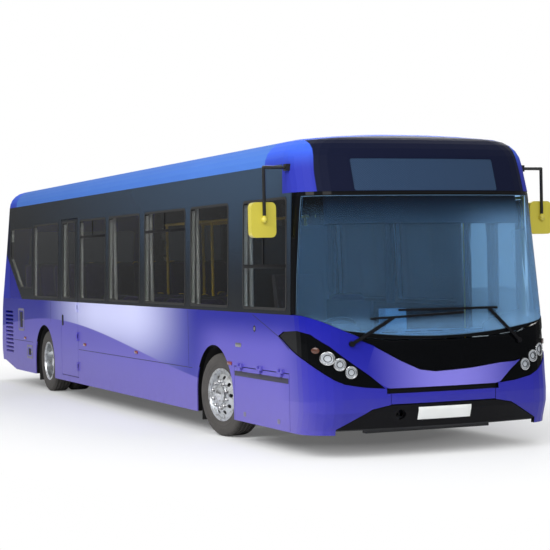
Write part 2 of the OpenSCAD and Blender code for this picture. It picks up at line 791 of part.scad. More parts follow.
module wheel_boxes() {
    color("black") both_sides() difference() {
        arches(liner_y, half_w - wall_t, liner_gap + liner_t);
        arches(liner_y + liner_t, half_w, liner_gap);
        box(x_rear, x_front, 0, body_w, -body_w, skirt_z);
        // Way in for the axles
        box(x_axle - axle_w, x_axle + axle_w, 0, liner_y + 2 * liner_t, 0, axle_z[1] + 2 * liner_t);
        translate([x_drive, 0, tyre_r]) rotate([-90, 0, 0])
            cylinder(r = axle_tube_r + 5, h = liner_y + 2 * liner_t, $fn = 64);
    }
}
rail_y = liner_y - 150;
rail_w = 70;
low_rail_z = [190, low_floor_z - floor_t];
high_rail_z = [560, high_floor_z - floor_t];
cross_members = [1700, 800, -1300, -2300, -3300, -4300];
pad = 100;
pads = [520, -5950];
rail_drop = 10;
module rail(x0, x1, z) {
    box(from_axle(x0), from_axle(x1), rail_y - rail_w / 2, rail_y + rail_w / 2, z[0], z[1]);
}
module jack_pad(x) {
    z = x > floor_steps[1][0] ? low_rail_z[0] : high_rail_z[0];
    box(from_axle(x), from_axle(x) + pad, rail_y - pad / 2, rail_y + pad / 2,
        z - 2 * rail_drop, z + rail_drop);
}
module tow_bore(x, r) {
    translate([x, tow[0], tow[1]]) rotate([0, 90, 0]) cylinder(r = r, h = body_l, $fn = 48);
}
module chassis_frame() {
    edge_y = half_w - wall_t - 20;
    color("dimgray") difference() {
        union() {
            both_sides() {
                // The low rails bolt to the posts that carry the rear frame
                box(from_axle(-5050) + seat_gap, from_axle(2080), rail_y - rail_w / 2, rail_y + rail_w / 2,
                    low_rail_z[0], low_rail_z[1]);
                rail(-8900, -5050, high_rail_z);
                rail(-5150, -5050, [low_rail_z[0], high_rail_z[1]]);
                for (x = pads) jack_pad(x);
            }
            for (x = cross_members)
                box(from_axle(x), from_axle(x) + 60, -edge_y, edge_y, low_rail_z[0] + 20, low_rail_z[1]);
            box(from_axle(2080), from_axle(2150), -620, 620, low_rail_z[0], low_rail_z[1]);
            box(from_axle(2080), from_axle(2150), tow[0] - 60, tow[0] + 60, low_rail_z[0], tow[1] + 60);
            translate([from_axle(2140), tow[0], tow[1]]) rotate([0, 90, 0])
                cylinder(r = 34, h = 210, $fn = 48);
        }
        // Passage of the dropped front axle, and of the tow socket's thread
        box(x_axle - 90, x_axle + 90, -half_w, half_w, 0, low_floor_z);
        tow_bore(from_axle(2200), tow_thread_r);
    }
}
module engine() {
    side = rail_y - rail_w / 2;
    color("darkgray") {
        box(from_axle(-8900), from_axle(-8360), -side, side, 420, engine_deck_z - floor_t - 15);
        box(from_axle(-8360) - eps, from_axle(-7700), -side / 2, side / 2, 400, 640);
    }
}
flap_t = 12;
module mud_flaps() {
    color("black") both_sides() for (x = [x_axle, x_drive])
        box(x - arch_r - liner_gap, x - arch_r - liner_gap + flap_t,
            tyre_face_y - 300, half_w - wall_t - 5, 120, 380);
}

// Axles, knuckles and wheels

tyre_mid_y = tyre_face_y - tyre_w / 2;
kingpin_y = tyre_mid_y - kingpin_in;
kingpin_r = 30;
stub_r = 40;
drive_stub_r = 45;
module front_axle() {
    beam = [[0, axle_z[0]], [kingpin_y - 366, axle_z[0]], [kingpin_y - 221, eye_z[0]], [kingpin_y, eye_z[0]],
        [kingpin_y, eye_z[1]], [kingpin_y - 246, eye_z[1]], [kingpin_y - 386, axle_z[1]], [0, axle_z[1]]];
    color("dimgray") both_sides() {
        along_x(x_axle - axle_w + 10, x_axle + axle_w - 10) polygon(beam);
        translate([x_axle, kingpin_y, eye_z[0]]) cylinder(r = eye_r, h = eye_z[1] - eye_z[0], $fn = 48);
        translate([x_axle, kingpin_y, eye_z[0]]) cylinder(r = kingpin_r, h = 235, $fn = 48);
        box(x_axle - axle_w + 10, x_axle + axle_w - 10, rail_y - 150, rail_y - 30,
            axle_z[1] - eps, low_floor_z - floor_t);
    }
}
module rear_axle() {
    drum_y = tyre_mid_y - twin_pitch - 116;
    color("dimgray") {
        translate([x_drive, 0, tyre_r]) sphere(r = 175, $fn = 64);
        translate([x_drive, 0, tyre_r]) rotate([90, 0, 0])
            cylinder(r = axle_tube_r, h = 2 * drum_y + 2 * eps, center = true, $fn = 64);
        translate([x_drive, 0, tyre_r]) rotate([90, 0, 0])
            cylinder(r = drive_stub_r, h = 2 * (tyre_mid_y - 40), center = true, $fn = 64);
        both_sides() {
            translate([x_drive, drum_y, tyre_r]) rotate([-90, 0, 0]) cylinder(r = 185, h = 90, $fn = 64);
            translate([x_drive, rail_y, tyre_r]) cylinder(r = 60, h = high_rail_z[0] - tyre_r, $fn = 64);
        }
    }
}
// Places a front wheel piece: drawn about its own axle, +Z outboard, origin in the middle of the tyre
module steered(side) {
    translate([x_axle, side * kingpin_y, tyre_r]) rotate([0, 0, steer_rest])
        translate([0, side * kingpin_in, 0]) rotate([-90 * side, 0, 0]) children();
}
module driven(side) {
    translate([x_drive, side * tyre_mid_y, tyre_r]) rotate([-90 * side, 0, 0]) children();
}
bead_r = 250;
shoulder_r = 46;
module tyre_ring() {
    w = tyre_w / 2;
    side_r = (tyre_r + rim_r) / 2;
    rotate_extrude($fn = 96) polygon(concat(
        [[bead_r, -100], [rim_r + 3, -100], [rim_r + 8, -w + 14], [side_r, -w]],
        arc(tyre_r - shoulder_r, -w + shoulder_r + 6, shoulder_r, -80, 0, 3),
        arc(tyre_r - shoulder_r, w - shoulder_r - 6, shoulder_r, 0, 80, 3),
        [[side_r, w], [rim_r + 8, w - 14], [rim_r + 3, 100], [bead_r, 100]]));
}
// Rim bed seen in section: [radius, along the axle]
rim_bed = [[238, -112], [rim_r, -112], [rim_r, -100], [bead_r, -100], [bead_r, 100], [rim_r, 100],
    [rim_r, 112], [240, 112]];
module wheel_holes(n, at_r, r) {
    for (k = [0 : n - 1])
        rotate([0, 0, 360 * k / n]) translate([at_r, 0, -400]) cylinder(r = r, h = 800, $fn = 32);
}
module front_rim(side) {
    color("silver") steered(side) difference() {
        rotate_extrude($fn = 96) polygon(concat(rim_bed,
            [[232, 96], [205, 98], [160, 122], [98, 124], [95, 140], [72, 150], [0, 152], [0, 64],
             [stub_r + fit, 64], [stub_r + fit, -4], [78, -4], [82, 92], [150, 96], [196, 74], [222, 58]]));
        intersection() {
            wheel_holes(10, 178, 20);
            translate([0, 0, 20]) cylinder(r = 230, h = 200, $fn = 64);
        }
    }
}
module rear_rim(side) {
    mount = -twin_pitch / 2;
    section = concat(rim_bed, [[232, 95], [229, -36], [160, mount + 17], [80, mount + 13], [80, mount - 1],
        [170, mount - 1], [228, -60]]);
    hub = [[drive_stub_r + fit, -twin_pitch - 20], [95, -twin_pitch - 20], [95, 34], [72, 52], [0, 56],
        [0, -20], [drive_stub_r + fit, -20]];
    color("silver") driven(side) difference() {
        union() {
            rotate_extrude($fn = 96) polygon(section);
            rotate_extrude($fn = 96) polygon([for (q = section) [q[0], 2 * mount - q[1]]]);
            rotate_extrude($fn = 96) polygon(hub);
        }
        intersection() {
            wheel_holes(10, 185, 22);
            translate([0, 0, -400]) cylinder(r = 225, h = 395, $fn = 64);
        }
    }
}
module front_tyre(side) {
    color("#1a1a1a") steered(side) tyre_ring();
}
module rear_tyres(side) {
    color("#1a1a1a") driven(side) for (k = [0, 1]) translate([0, 0, -k * twin_pitch]) tyre_ring();
}
module knuckle(side) {
    color("dimgray") translate([x_axle, side * kingpin_y, 0]) rotate([0, 0, steer_rest]) difference() {
        union() {
            translate([0, 0, eye_z[1] + fit]) cylinder(r = 58, h = 150, $fn = 64);
            translate([0, 0, tyre_r]) rotate([-90 * side, 0, 0]) {
                cylinder(r = stub_r, h = kingpin_in + 50, $fn = 64);
                translate([0, 0, 48]) cylinder(r = 165, h = 30, $fn = 64);
            }
        }
        cylinder(r = kingpin_r + fit, h = roof_h, $fn = 48);
    }
}
module knuckle_right() { knuckle(-1); }
module knuckle_left() { knuckle(1); }
module front_rim_right() { front_rim(-1); }
module front_rim_left() { front_rim(1); }
module front_tyre_right() { front_tyre(-1); }
module front_tyre_left() { front_tyre(1); }
module rear_rims_right() { rear_rim(-1); }
module rear_rims_left() { rear_rim(1); }
module rear_tyres_right() { rear_tyres(-1); }
module rear_tyres_left() { rear_tyres(1); }

// Mirrors and wipers

mirror_x = 1842;
mirror_y = half_w + 193;
mirror_z = roof_h - 785;
mirror_arm_z = roof_h - 325;
mirror_arm_r = 15;
mirror_head = [80, 235, 310];
module mirrors() {
    x = from_axle(mirror_x);
    color("gold") both_sides() {
        difference() {
            box(x - 35, x + 35, half_w - 100, half_w - 8, mirror_arm_z - 30, mirror_arm_z + 30);
            end_solid(concat(bends(front_profile, cantrail_z, cove_z), roof_levels(0)), 0, x_roof_front);
        }
        translate([x, half_w - 20, mirror_arm_z]) rotate([-90, 0, 0])
            cylinder(r = mirror_arm_r, h = mirror_y - half_w + 20, $fn = 32);
        translate([x, mirror_y, mirror_arm_z]) sphere(r = mirror_arm_r + 1, $fn = 32);
        translate([x, mirror_y, mirror_z]) cylinder(r = mirror_arm_r, h = mirror_arm_z - mirror_z, $fn = 32);
        translate([x, mirror_y, mirror_z]) sphere(r = 30, $fn = 32);
        translate([0, mirror_y, mirror_z]) along_x(x - 15 - mirror_head[0], x - 15)
            polygon(round_rect(-mirror_head[1] / 2, -mirror_head[2] / 2,
                mirror_head[1] / 2, mirror_head[2] / 2, 45));
    }
}
// Wipers seen from ahead: [pivot, elbow, blade end, blade end], each [across, height]
wipers = [across([[-852, 996], [-460, 1213], [-674, 1208], [226, 1238]]),
    across([[808, 972], [490, 1273], [-405, 1276], [586, 1272]])];
module strip(a, b, w) {
    d = (b - a) / norm(b - a);
    n = [-d[1], d[0]] * w / 2;
    polygon([a + n, a - n, b - n, b + n]);
}
module wiper_skin(i0, i1) {
    end_skin(bends(front_profile, 930, 1310), i0, i1, x_seam);
}
module windscreen_wipers() {
    color("black") {
        intersection() {
            wiper_skin(-26, -6);
            union() {
                for (w = wipers) {
                    along_x(0, x_front + 100) strip(w[0], w[1], 26);
                    along_x(0, x_front + 100) strip(w[2], w[3], 20);
                }
            }
        }
        intersection() {
            wiper_skin(-26, 0);
            union() {
                for (w = wipers)
                    translate([0, w[0][0], w[0][1]]) rotate([0, 90, 0])
                        cylinder(r = 24, h = body_l, $fn = 32);
            }
        }
    }
}

// Inside the cabin

seat_shape = [[430, 380], [442, 425], [430, 460], [60, 455], [-70, 1010], [-150, 1010], [-40, 400],
    [-20, 380]];
seat_y = [270, half_w - 105];
// Back of each row of seats
right_rows = [-900, -1700, -2500, -3300, -4100, -6350, -7150, -7950];
left_rows = [-1300, -2100, -2900, -3700, -5550, -6350, -7150, -7950];
module seat_row(x) {
    z = floor_top(x);
    translate([from_axle(x), 0, z]) {
        along_y(seat_y[0], seat_y[1]) polygon(seat_shape);
        box(110, 300, seat_y[0] + 20, liner_y - 50, 0, 400);
    }
}
module passenger_seats() {
    color("rebeccapurple") {
        on_side(-1) for (x = right_rows) seat_row(x);
        for (x = left_rows) seat_row(x);
    }
}
pole_r = 16;
pole_y = 240;
rail_high = roof_h - 670;
poles = [-1000, -2600, -4200];
module handrails() {
    color("gold") both_sides() {
        for (x = poles)
            translate([from_axle(x), pole_y, low_floor_z])
                cylinder(r = pole_r, h = rail_high - low_floor_z, $fn = 24);
        translate([from_axle(poles[2]) - 50, pole_y, rail_high]) rotate([0, 90, 0])
            cylinder(r = pole_r, h = from_axle(poles[0]) - from_axle(poles[2]) + 100, $fn = 24);
    }
}
dash = [[1700, 0], [1700, 660], [1740, 720], [2060, 720], [2060, 0]];
cab_y = [wide(-1000), wide(250)];
machine_y = [wide(-270), wide(-60)];
module dashboard() {
    color("lightsteelblue") {
        translate([x_axle, 0, low_floor_z]) along_y(cab_y[0], cab_y[1]) polygon(dash);
        box(from_axle(1740), from_axle(1880), machine_y[0], machine_y[1],
            low_floor_z + 700, low_floor_z + 930);
    }
}
cab_screen_y = wide(-270);
cab_high_z = roof_h - 810;
cab_low_z = 1340;
module cab_partition() {
    color("slategray") {
        box(from_axle(640), from_axle(665), -half_w + wall_t + side_lean, cab_screen_y,
            low_floor_z, cab_high_z);
        box(from_axle(640), from_axle(1640), cab_screen_y - 25, cab_screen_y,
            low_floor_z, cab_low_z);
    }
}
driver_y = wide(-660);
module driver_seat() {
    color("rebeccapurple") {
        translate([from_axle(900), driver_y, low_floor_z + 240]) along_y(-240, 240) polygon(seat_shape);
        box(from_axle(960), from_axle(1280), driver_y - 180, driver_y + 180, low_floor_z, low_floor_z + 640);
    }
}
wheel_x = 1560;
wheel_z = 1090;
wheel_tilt = 28;
column_r = 40;
module steering_wheel() {
    column = (dash[0][0] - wheel_x - seat_gap - column_r * cos(wheel_tilt)) / sin(wheel_tilt);
    color("black") translate([from_axle(wheel_x), driver_y, wheel_z]) rotate([0, -wheel_tilt, 0]) {
        rotate_extrude($fn = 64) translate([215, 0]) circle(r = 17, $fn = 32);
        for (a = [90, 210, 330]) rotate([0, 0, a]) translate([0, -15, -8]) cube([215, 30, 16]);
        translate([0, 0, -column]) cylinder(r = column_r, h = column + 15, $fn = 32);
    }
}

chassis_frame();
floor_deck();
wheel_boxes();
mud_flaps();
engine();
right_skirt();
left_skirt();
right_window_frame();
left_window_frame();
right_windows_glass();
left_windows_glass();
cove_panels();
roof_panel();
front_frame();
front_corners();
front_panel();
front_hood();
front_bumper();
front_valance();
front_dome();
destination_glass();
windscreen();
windscreen_wipers();
headlamp_housings();
headlamps();
mirrors();
rear_corners();
rear_bumper();
rear_dome();
rear_window_glass();
rear_lamp_lenses();
engine_cover();
escape_door_leaf();
escape_door_glass();
locker_door();
entrance_leaf_rear();
entrance_leaf_front();
entrance_pane_rear();
entrance_pane_front();
entrance_post_rear();
entrance_post_front();
passenger_seats();
handrails();
dashboard();
cab_partition();
driver_seat();
steering_wheel();
front_axle();
rear_axle();
knuckle_right();
knuckle_left();
front_rim_right();
front_rim_left();
front_tyre_right();
front_tyre_left();
rear_rims_right();
rear_rims_left();
rear_tyres_right();
rear_tyres_left();
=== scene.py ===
import json
import math

import bmesh
import bpy
from mathutils import Matrix, Vector

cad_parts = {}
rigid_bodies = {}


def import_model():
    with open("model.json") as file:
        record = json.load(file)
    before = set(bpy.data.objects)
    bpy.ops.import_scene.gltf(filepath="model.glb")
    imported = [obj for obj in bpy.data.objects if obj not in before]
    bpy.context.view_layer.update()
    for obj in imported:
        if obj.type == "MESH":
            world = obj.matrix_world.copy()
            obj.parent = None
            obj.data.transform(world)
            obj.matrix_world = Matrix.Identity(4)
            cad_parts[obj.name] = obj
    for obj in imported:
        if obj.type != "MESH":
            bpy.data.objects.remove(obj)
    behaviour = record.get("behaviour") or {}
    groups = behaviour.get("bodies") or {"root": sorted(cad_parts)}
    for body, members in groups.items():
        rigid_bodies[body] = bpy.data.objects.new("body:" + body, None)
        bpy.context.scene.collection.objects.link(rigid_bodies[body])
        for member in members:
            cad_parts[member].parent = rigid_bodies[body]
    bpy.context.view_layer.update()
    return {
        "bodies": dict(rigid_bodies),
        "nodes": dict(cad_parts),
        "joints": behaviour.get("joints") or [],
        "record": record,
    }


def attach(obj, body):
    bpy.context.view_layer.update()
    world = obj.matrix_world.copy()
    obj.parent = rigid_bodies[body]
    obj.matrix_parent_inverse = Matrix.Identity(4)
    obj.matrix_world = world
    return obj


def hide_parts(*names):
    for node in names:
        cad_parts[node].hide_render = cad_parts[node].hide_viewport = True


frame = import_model()
nodes = frame["nodes"]
scene = bpy.context.scene
scene.view_settings.view_transform = "Standard"

# Sizes of the bus in metres: half width, waist line, lean of the sides over the waist, line of the cove
HALF, WAIST, LEAN, COVE = 1.225, 1.245, 0.030, 2.58
# Places along the bus: front axle, rear axle, seam between side and front
AXLE, DRIVE, SEAM = 3.42, -3.18, 5.345
# Front end: foremost point, radius of the bow, radius of the corners
FRONT_TIP, BOW_R, CORNER_R = 5.9, 5.6, 0.33
# Wheels: tyre radius, middle of the tyre across, spacing of twin tyres, kingpin to middle, turn at rest
TYRE_R, WHEEL_Y, TWIN, PIN_OFFSET, REST_STEER = 0.412, 1.056, 0.29, 0.09, math.radians(10)
# Number plate: width and height
PLATE_W, PLATE_H = 0.520, 0.111
# Mirror heads: middle across and height
MIRROR_Y, MIRROR_Z = 1.418, 2.085
# Front skin: height over the road, and how far the skin lies behind the foremost point there
PROFILE = [(0.200, 0.070), (0.250, 0.060), (0.400, 0.005), (0.520, 0.0), (0.640, 0.012), (1.0, 0.040),
           (1.245, 0.071), (2.290, 0.215)]


def lookup(z, table):
    if z <= table[0][0]:
        return table[0][1]
    for (a, p), (b, q) in zip(table, table[1:]):
        if z <= b:
            return p + (q - p) * (z - a) / (b - a)
    return table[-1][1]


def half_at(z):
    return HALF if z <= WAIST else HALF - LEAN * (z - WAIST) / (COVE - WAIST)


def front_x(y, z):
    """Outer face of the bowed front at one point."""
    tip, h, y = FRONT_TIP - lookup(z, PROFILE), half_at(z), abs(y)
    a = math.asin((h - CORNER_R) / (BOW_R - CORNER_R))
    cx, cy = tip - BOW_R + (BOW_R - CORNER_R) * math.cos(a), h - CORNER_R
    if y <= BOW_R * math.sin(a):
        return tip - BOW_R + math.sqrt(BOW_R ** 2 - y * y)
    return cx + math.sqrt(max(CORNER_R ** 2 - (y - cy) ** 2, 0.0))


def on_side(side):
    return lambda a, b, h: (a, side * (half_at(b) + h), b)


def on_front(a, b, h):
    slope = (front_x(a + 0.004, b) - front_x(a - 0.004, b)) / 0.008
    n = math.hypot(1, slope)
    return (front_x(a, b) + h / n, a - h * slope / n, b)


# Materials

def srgb(r, g, b):
    def lin(c):
        c /= 255
        return c / 12.92 if c <= 0.04045 else ((c + 0.055) / 1.055) ** 2.4
    return (lin(r), lin(g), lin(b), 1.0)


class Tree:
    """Short names for making nodes."""

    def __init__(self, tree):
        self.tree = tree

    def add(self, kind, **values):
        node = self.tree.nodes.new(kind)
        for key, value in values.items():
            setattr(node, key, value)
        return node

    def link(self, a, b):
        self.tree.links.new(a, b)

    def put(self, socket, value):
        if hasattr(value, "is_linked"):
            self.link(value, socket)
        else:
            socket.default_value = value

    def math(self, op, a, b=0.0):
        node = self.add("ShaderNodeMath", operation=op)
        self.put(node.inputs[0], a)
        self.put(node.inputs[1], b)
        return node.outputs[0]

    def step(self, value, low, high):
        node = self.add("ShaderNodeMapRange", interpolation_type="SMOOTHSTEP")
        self.put(node.inputs["Value"], value)
        node.inputs["From Min"].default_value = low
        node.inputs["From Max"].default_value = high
        return node.outputs["Result"]

    def ramp(self, value, low, high, first, last):
        node = self.add("ShaderNodeMapRange")
        self.put(node.inputs["Value"], value)
        for key, number in (("From Min", low), ("From Max", high), ("To Min", first), ("To Max", last)):
            node.inputs[key].default_value = number
        return node.outputs["Result"]

    def product(self, *factors):
        result = factors[0]
        for factor in factors[1:]:
            result = self.math("MULTIPLY", result, factor)
        return result


class Nodes(Tree):
    """A material with its shader and the coordinates of the bus frame."""

    def __init__(self, name):
        self.mat = bpy.data.materials.new(name)
        self.mat.use_nodes = True
        super().__init__(self.mat.node_tree)
        self.shader = self.tree.nodes["Principled BSDF"]
        self.coord = self.add("ShaderNodeTexCoord").outputs["Object"]

    def mix(self, fac, a, b):
        node = self.add("ShaderNodeMix", data_type="RGBA")
        self.put(node.inputs[0], fac)
        self.put(node.inputs[6], a)
        self.put(node.inputs[7], b)
        return node.outputs[2]

    def noise(self, scale, detail=4.0, stretch=None):
        node = self.add("ShaderNodeTexNoise")
        node.inputs["Scale"].default_value = scale
        node.inputs["Detail"].default_value = detail
        if stretch:
            mapping = self.add("ShaderNodeMapping")
            mapping.inputs["Scale"].default_value = stretch
            self.link(self.coord, mapping.inputs["Vector"])
            self.link(mapping.outputs[0], node.inputs["Vector"])
        else:
            self.link(self.coord, node.inputs["Vector"])
        return node.outputs["Fac"]

    def xyz(self):
        node = self.add("ShaderNodeSeparateXYZ")
        self.link(self.coord, node.inputs[0])
        return node.outputs

    def normal(self):
        node = self.add("ShaderNodeSeparateXYZ")
        self.link(self.add("ShaderNodeNewGeometry").outputs["True Normal"], node.inputs[0])
        return node.outputs

    def bump(self, height, strength, distance=0.002):
        node = self.add("ShaderNodeBump")
        node.inputs["Strength"].default_value = strength
        node.inputs["Distance"].default_value = distance
        self.link(height, node.inputs["Height"])
        self.link(node.outputs[0], self.shader.inputs["Normal"])

    def set(self, **values):
        for key, value in values.items():
            self.put(self.shader.inputs[key.replace("_", " ")], value)
        return self


def shade(color, factor):
    """A lighter or darker copy of a colour."""
    return tuple(min(1.0, c * factor) for c in color[:3]) + (1.0,)


def plain(name, color, rough=0.5, metal=0.0, grain=60.0, spread=0.12, bump=0.05, coat=0.0, ior=1.5):
    """A moulded, cast or painted surface with fine grain and slight unevenness."""
    n = Nodes(name)
    fine, broad = n.noise(grain), n.noise(2.3, 3.0)
    n.set(Base_Color=n.mix(broad, shade(color, 1 - spread), shade(color, 1 + spread)), Metallic=metal,
          IOR=ior, Coat_Weight=coat, Coat_Roughness=0.08)
    n.put(n.shader.inputs["Roughness"], n.math("ADD", rough - 0.06, n.math("MULTIPLY", fine, 0.12)))
    n.bump(fine, bump)
    return n.mat


# Pale lining of the jambs; near-black painted shade inside the cabin, and black painted shade under the body
# and below the waist inside it.
LINING, CABIN_SHADE, UNDER_SHADE = srgb(244, 240, 230), srgb(20, 21, 24), srgb(16, 16, 17)
# The deep violet of the paint, and the pale colour of a painted highlight on the sides.
DEEP, PAINTED_HIGHLIGHT = srgb(24, 27, 142), srgb(208, 211, 250)
# Slanted rear end of the dark window band: where it leaves the waist, and its slope
SWEEP_X, SWEEP_SLOPE = -4.44, 0.694


def inner_color(n, color, xyz):
    """Painted shade, near-black, on faces that look into the cabin or turn down and on inner faces below the
    waist; pale jambs behind the glass.
    """
    x, y, z = xyz
    normal = n.normal()
    # Painted shade: faces turned into the cabin or downward are found by their normals and darkened.
    inward = n.math("MULTIPLY", n.math("SIGN", y), normal[1])
    facing = n.math("LESS_THAN", n.math("MINIMUM", inward, normal[2]), -0.55)
    lean = n.math("MULTIPLY", n.math("MAXIMUM", n.math("SUBTRACT", z, WAIST), 0.0), LEAN / (COVE - WAIST))
    depth = n.math("SUBTRACT", n.math("SUBTRACT", HALF, lean), n.math("ABSOLUTE", y))
    deep = n.product(n.math("GREATER_THAN", depth, 0.0115), n.math("LESS_THAN", x, SEAM - 0.02),
                     n.math("GREATER_THAN", x, -5.1), n.math("LESS_THAN", z, 2.35))
    above = n.step(z, 1.20, 1.25)
    jamb = n.mix(deep, color, n.mix(above, UNDER_SHADE, LINING))
    return n.mix(facing, jamb, n.mix(above, UNDER_SHADE, CABIN_SHADE))


def finish_paint(n, color, xyz, rough=0.30, coat=0.10):
    """Road dust low down, painted shade inside and under the body, orange peel and a clear coat over a
    colour.
    """
    dust = n.math("MULTIPLY", n.step(xyz[2], 0.75, 0.20), n.math("MULTIPLY", n.noise(9.0), 0.20))
    dusty = n.mix(dust, color, srgb(120, 112, 118))
    n.set(Base_Color=inner_color(n, dusty, xyz), IOR=1.16, Coat_Weight=coat, Coat_Roughness=0.22)
    n.put(n.shader.inputs["Roughness"], n.math("ADD", rough, n.math("MULTIPLY", dust, 0.8)))
    n.bump(n.noise(160.0, 2.0), 0.025)
    return n.mat


def livery_color(n, x, z):
    """Deep violet ends, lighter behind the headlamps, a painted highlight under the middle windows, one long
    wave.
    """
    # Painted highlight: a pale patch under the middle windows.
    highlight_mask = n.product(n.step(x, 3.0, 0.7), n.step(x, -3.4, -0.6), n.step(z, 0.35, 1.15))
    lower = n.mix(n.step(z, 1.05, 0.25), srgb(90, 83, 180), srgb(106, 97, 184))
    ahead = n.step(x, 5.85, 5.0)
    fore = n.product(n.step(x, 2.7, 3.6), n.step(z, 1.22, 0.90), ahead)
    ends = n.mix(fore, n.mix(n.step(z, 1.2, 0.4), DEEP, srgb(46, 46, 156)), lower)
    upper_with_painted_light = n.mix(highlight_mask, ends, PAINTED_HIGHLIGHT)
    wave = n.math("MULTIPLY", n.math("SINE", n.math("MULTIPLY", n.math("SUBTRACT", 1.0, x), 0.42)), 0.26)
    below = n.step(n.math("SUBTRACT", z, n.math("ADD", wave, 0.74)), 0.008, -0.008)
    return n.mix(n.math("MULTIPLY", below, ahead), upper_with_painted_light, lower)


def livery():
    n = Nodes("violet_livery")
    x, y, z = n.xyz()
    return finish_paint(n, livery_color(n, x, z), (x, y, z))


def swept(n, x, z):
    """1 below the slanted rear end of the dark window band."""
    line = n.math("ADD", WAIST, n.math("MULTIPLY", n.math("SUBTRACT", SWEEP_X, x), SWEEP_SLOPE))
    below = n.step(n.math("SUBTRACT", z, line), 0.006, -0.006)
    return n.math("MULTIPLY", below, n.math("LESS_THAN", x, SWEEP_X))


def panel_paint():
    """Front panel: violet that lightens to its middle, lighter paint with a painted highlight in the middle.
    """
    n = Nodes("panel_paint")
    x, y, z = n.xyz()
    away = n.math("ABSOLUTE", n.math("SUBTRACT", y, 0.10))
    # Painted highlight: the deep violet brightens towards the middle of the panel.
    return finish_paint(n, n.mix(n.step(away, 0.95, 0.05), DEEP, srgb(128, 122, 214)), (x, y, z))


def dome_paint():
    """Violet mouldings of the roof ends, with the black surround of the display at the front."""
    n = Nodes("dome_paint")
    x, y, z = n.xyz()
    color = n.mix(n.step(z, 2.50, 2.80), srgb(44, 52, 158), srgb(62, 104, 226))
    edge = n.math("ADD", n.math("ABSOLUTE", y), n.math("MULTIPLY", n.step(z, 2.45, 2.80), 0.03))
    arc = n.math("ADD", z, n.math("MULTIPLY", n.math("MULTIPLY", y, y), 0.045))
    front = n.product(n.step(edge, 1.046, 1.036), n.step(arc, 2.842, 2.826), n.step(x, 5.0, 5.05))
    side = n.math("GREATER_THAN", n.math("ABSOLUTE", n.normal()[1]), 0.80)
    rear = n.product(n.math("LESS_THAN", x, 0.0), n.step(z, 2.585, 2.575), side,
                     n.math("SUBTRACT", 1.0, swept(n, x, z)))
    dark = n.math("MAXIMUM", front, rear)
    return finish_paint(n, n.mix(dark, color, srgb(10, 16, 40)), (x, y, z), 0.52, 0.0)


def roof_paint():
    n = Nodes("roof_paint")
    xyz = n.xyz()
    color = n.mix(n.noise(0.6, 2.0), srgb(68, 112, 194), srgb(78, 124, 206))
    return finish_paint(n, color, xyz, 0.55, 0.0)


def band_paint():
    """Dark gloss film of the window band, with a painted sky reflection that lightens its top towards the
    front.
    """
    n = Nodes("dark_band")
    xyz = n.xyz()
    # Painted sky reflection: the top of the band turns blue-grey, lighter towards the front.
    upper_with_painted_light = n.mix(n.step(xyz[0], -6.0, 5.0), srgb(20, 24, 28), srgb(48, 66, 86))
    color = n.mix(n.step(xyz[2], 1.3, 2.6), srgb(24, 28, 33), upper_with_painted_light)
    color = n.mix(swept(n, xyz[0], xyz[2]), color, DEEP)
    return finish_paint(n, color, xyz, 0.22)


def glazing(name, tint, rough=0.015, level=0.3):
    n = Nodes(name)
    n.set(Transmission_Weight=1.0, IOR=1.22, Specular_IOR_Level=level)
    streak = n.noise(5.0, 3.0, (1.0, 1.0, 0.25))
    n.set(Base_Color=n.mix(streak, shade(tint, 0.88), tint))
    n.put(n.shader.inputs["Roughness"], n.math("ADD", rough, n.math("MULTIPLY", streak, 0.02)))
    return n


def screen_glass():
    """Windscreen with a black printed border and a painted reflection, stronger at the nearside and low down.
    """
    n = glazing("windscreen_glass", srgb(150, 198, 240), level=0.3)
    x, y, z = n.xyz()
    away = n.math("ABSOLUTE", y)
    border = n.math("MAXIMUM", n.step(x, SEAM + 0.115, SEAM + 0.105), n.step(z, 2.275, 2.285))
    low = n.math("ADD", 1.045, n.math("MULTIPLY", n.math("MULTIPLY", away, away), 0.085))
    border = n.math("MAXIMUM", border, n.step(n.math("SUBTRACT", z, low), 0.005, -0.005))
    tint = n.shader.inputs["Base Color"].links[0].from_socket
    n.set(Base_Color=n.mix(border, tint, srgb(10, 11, 13)))
    # Painted reflection: part of the glass turns diffuse in its pale blue tint, for the sky over most of the
    # screen, more at the nearside, and for the pale ledge along the bottom.
    painted_reflection = n.math("ADD", 0.055, n.math("MULTIPLY", n.step(y, 0.1, 0.9), 0.26))
    painted_reflection = n.math("ADD", n.math("MULTIPLY", n.step(z, 2.26, 1.95), painted_reflection),
                   n.math("MULTIPLY", n.step(z, 1.26, 1.12), 0.16))
    n.link(n.math("SUBTRACT", 1.0, n.math("MAXIMUM", border, painted_reflection)), n.shader.inputs["Transmission Weight"])
    return n.mat


def mirror_paint():
    """Yellow mirror heads on black arms."""
    n = Nodes("mirror_finish")
    x, y, z = n.xyz()
    away = n.math("ABSOLUTE", y)
    head = n.math("MULTIPLY", n.math("LESS_THAN", z, 2.245), n.math("GREATER_THAN", away, 1.295))
    arm = n.product(n.math("LESS_THAN", n.math("ABSOLUTE", n.math("SUBTRACT", away, MIRROR_Y)), 0.0155),
                    n.math("GREATER_THAN", x, 5.248), n.math("GREATER_THAN", z, 2.12))
    head = n.math("MULTIPLY", head, n.math("SUBTRACT", 1.0, arm))
    n.set(Base_Color=n.mix(head, srgb(12, 13, 15), srgb(196, 184, 66)), Coat_Weight=0.2)
    fine = n.noise(120.0)
    n.put(n.shader.inputs["Roughness"], n.math("ADD", 0.26, n.math("MULTIPLY", fine, 0.1)))
    n.bump(fine, 0.03)
    return n.mat


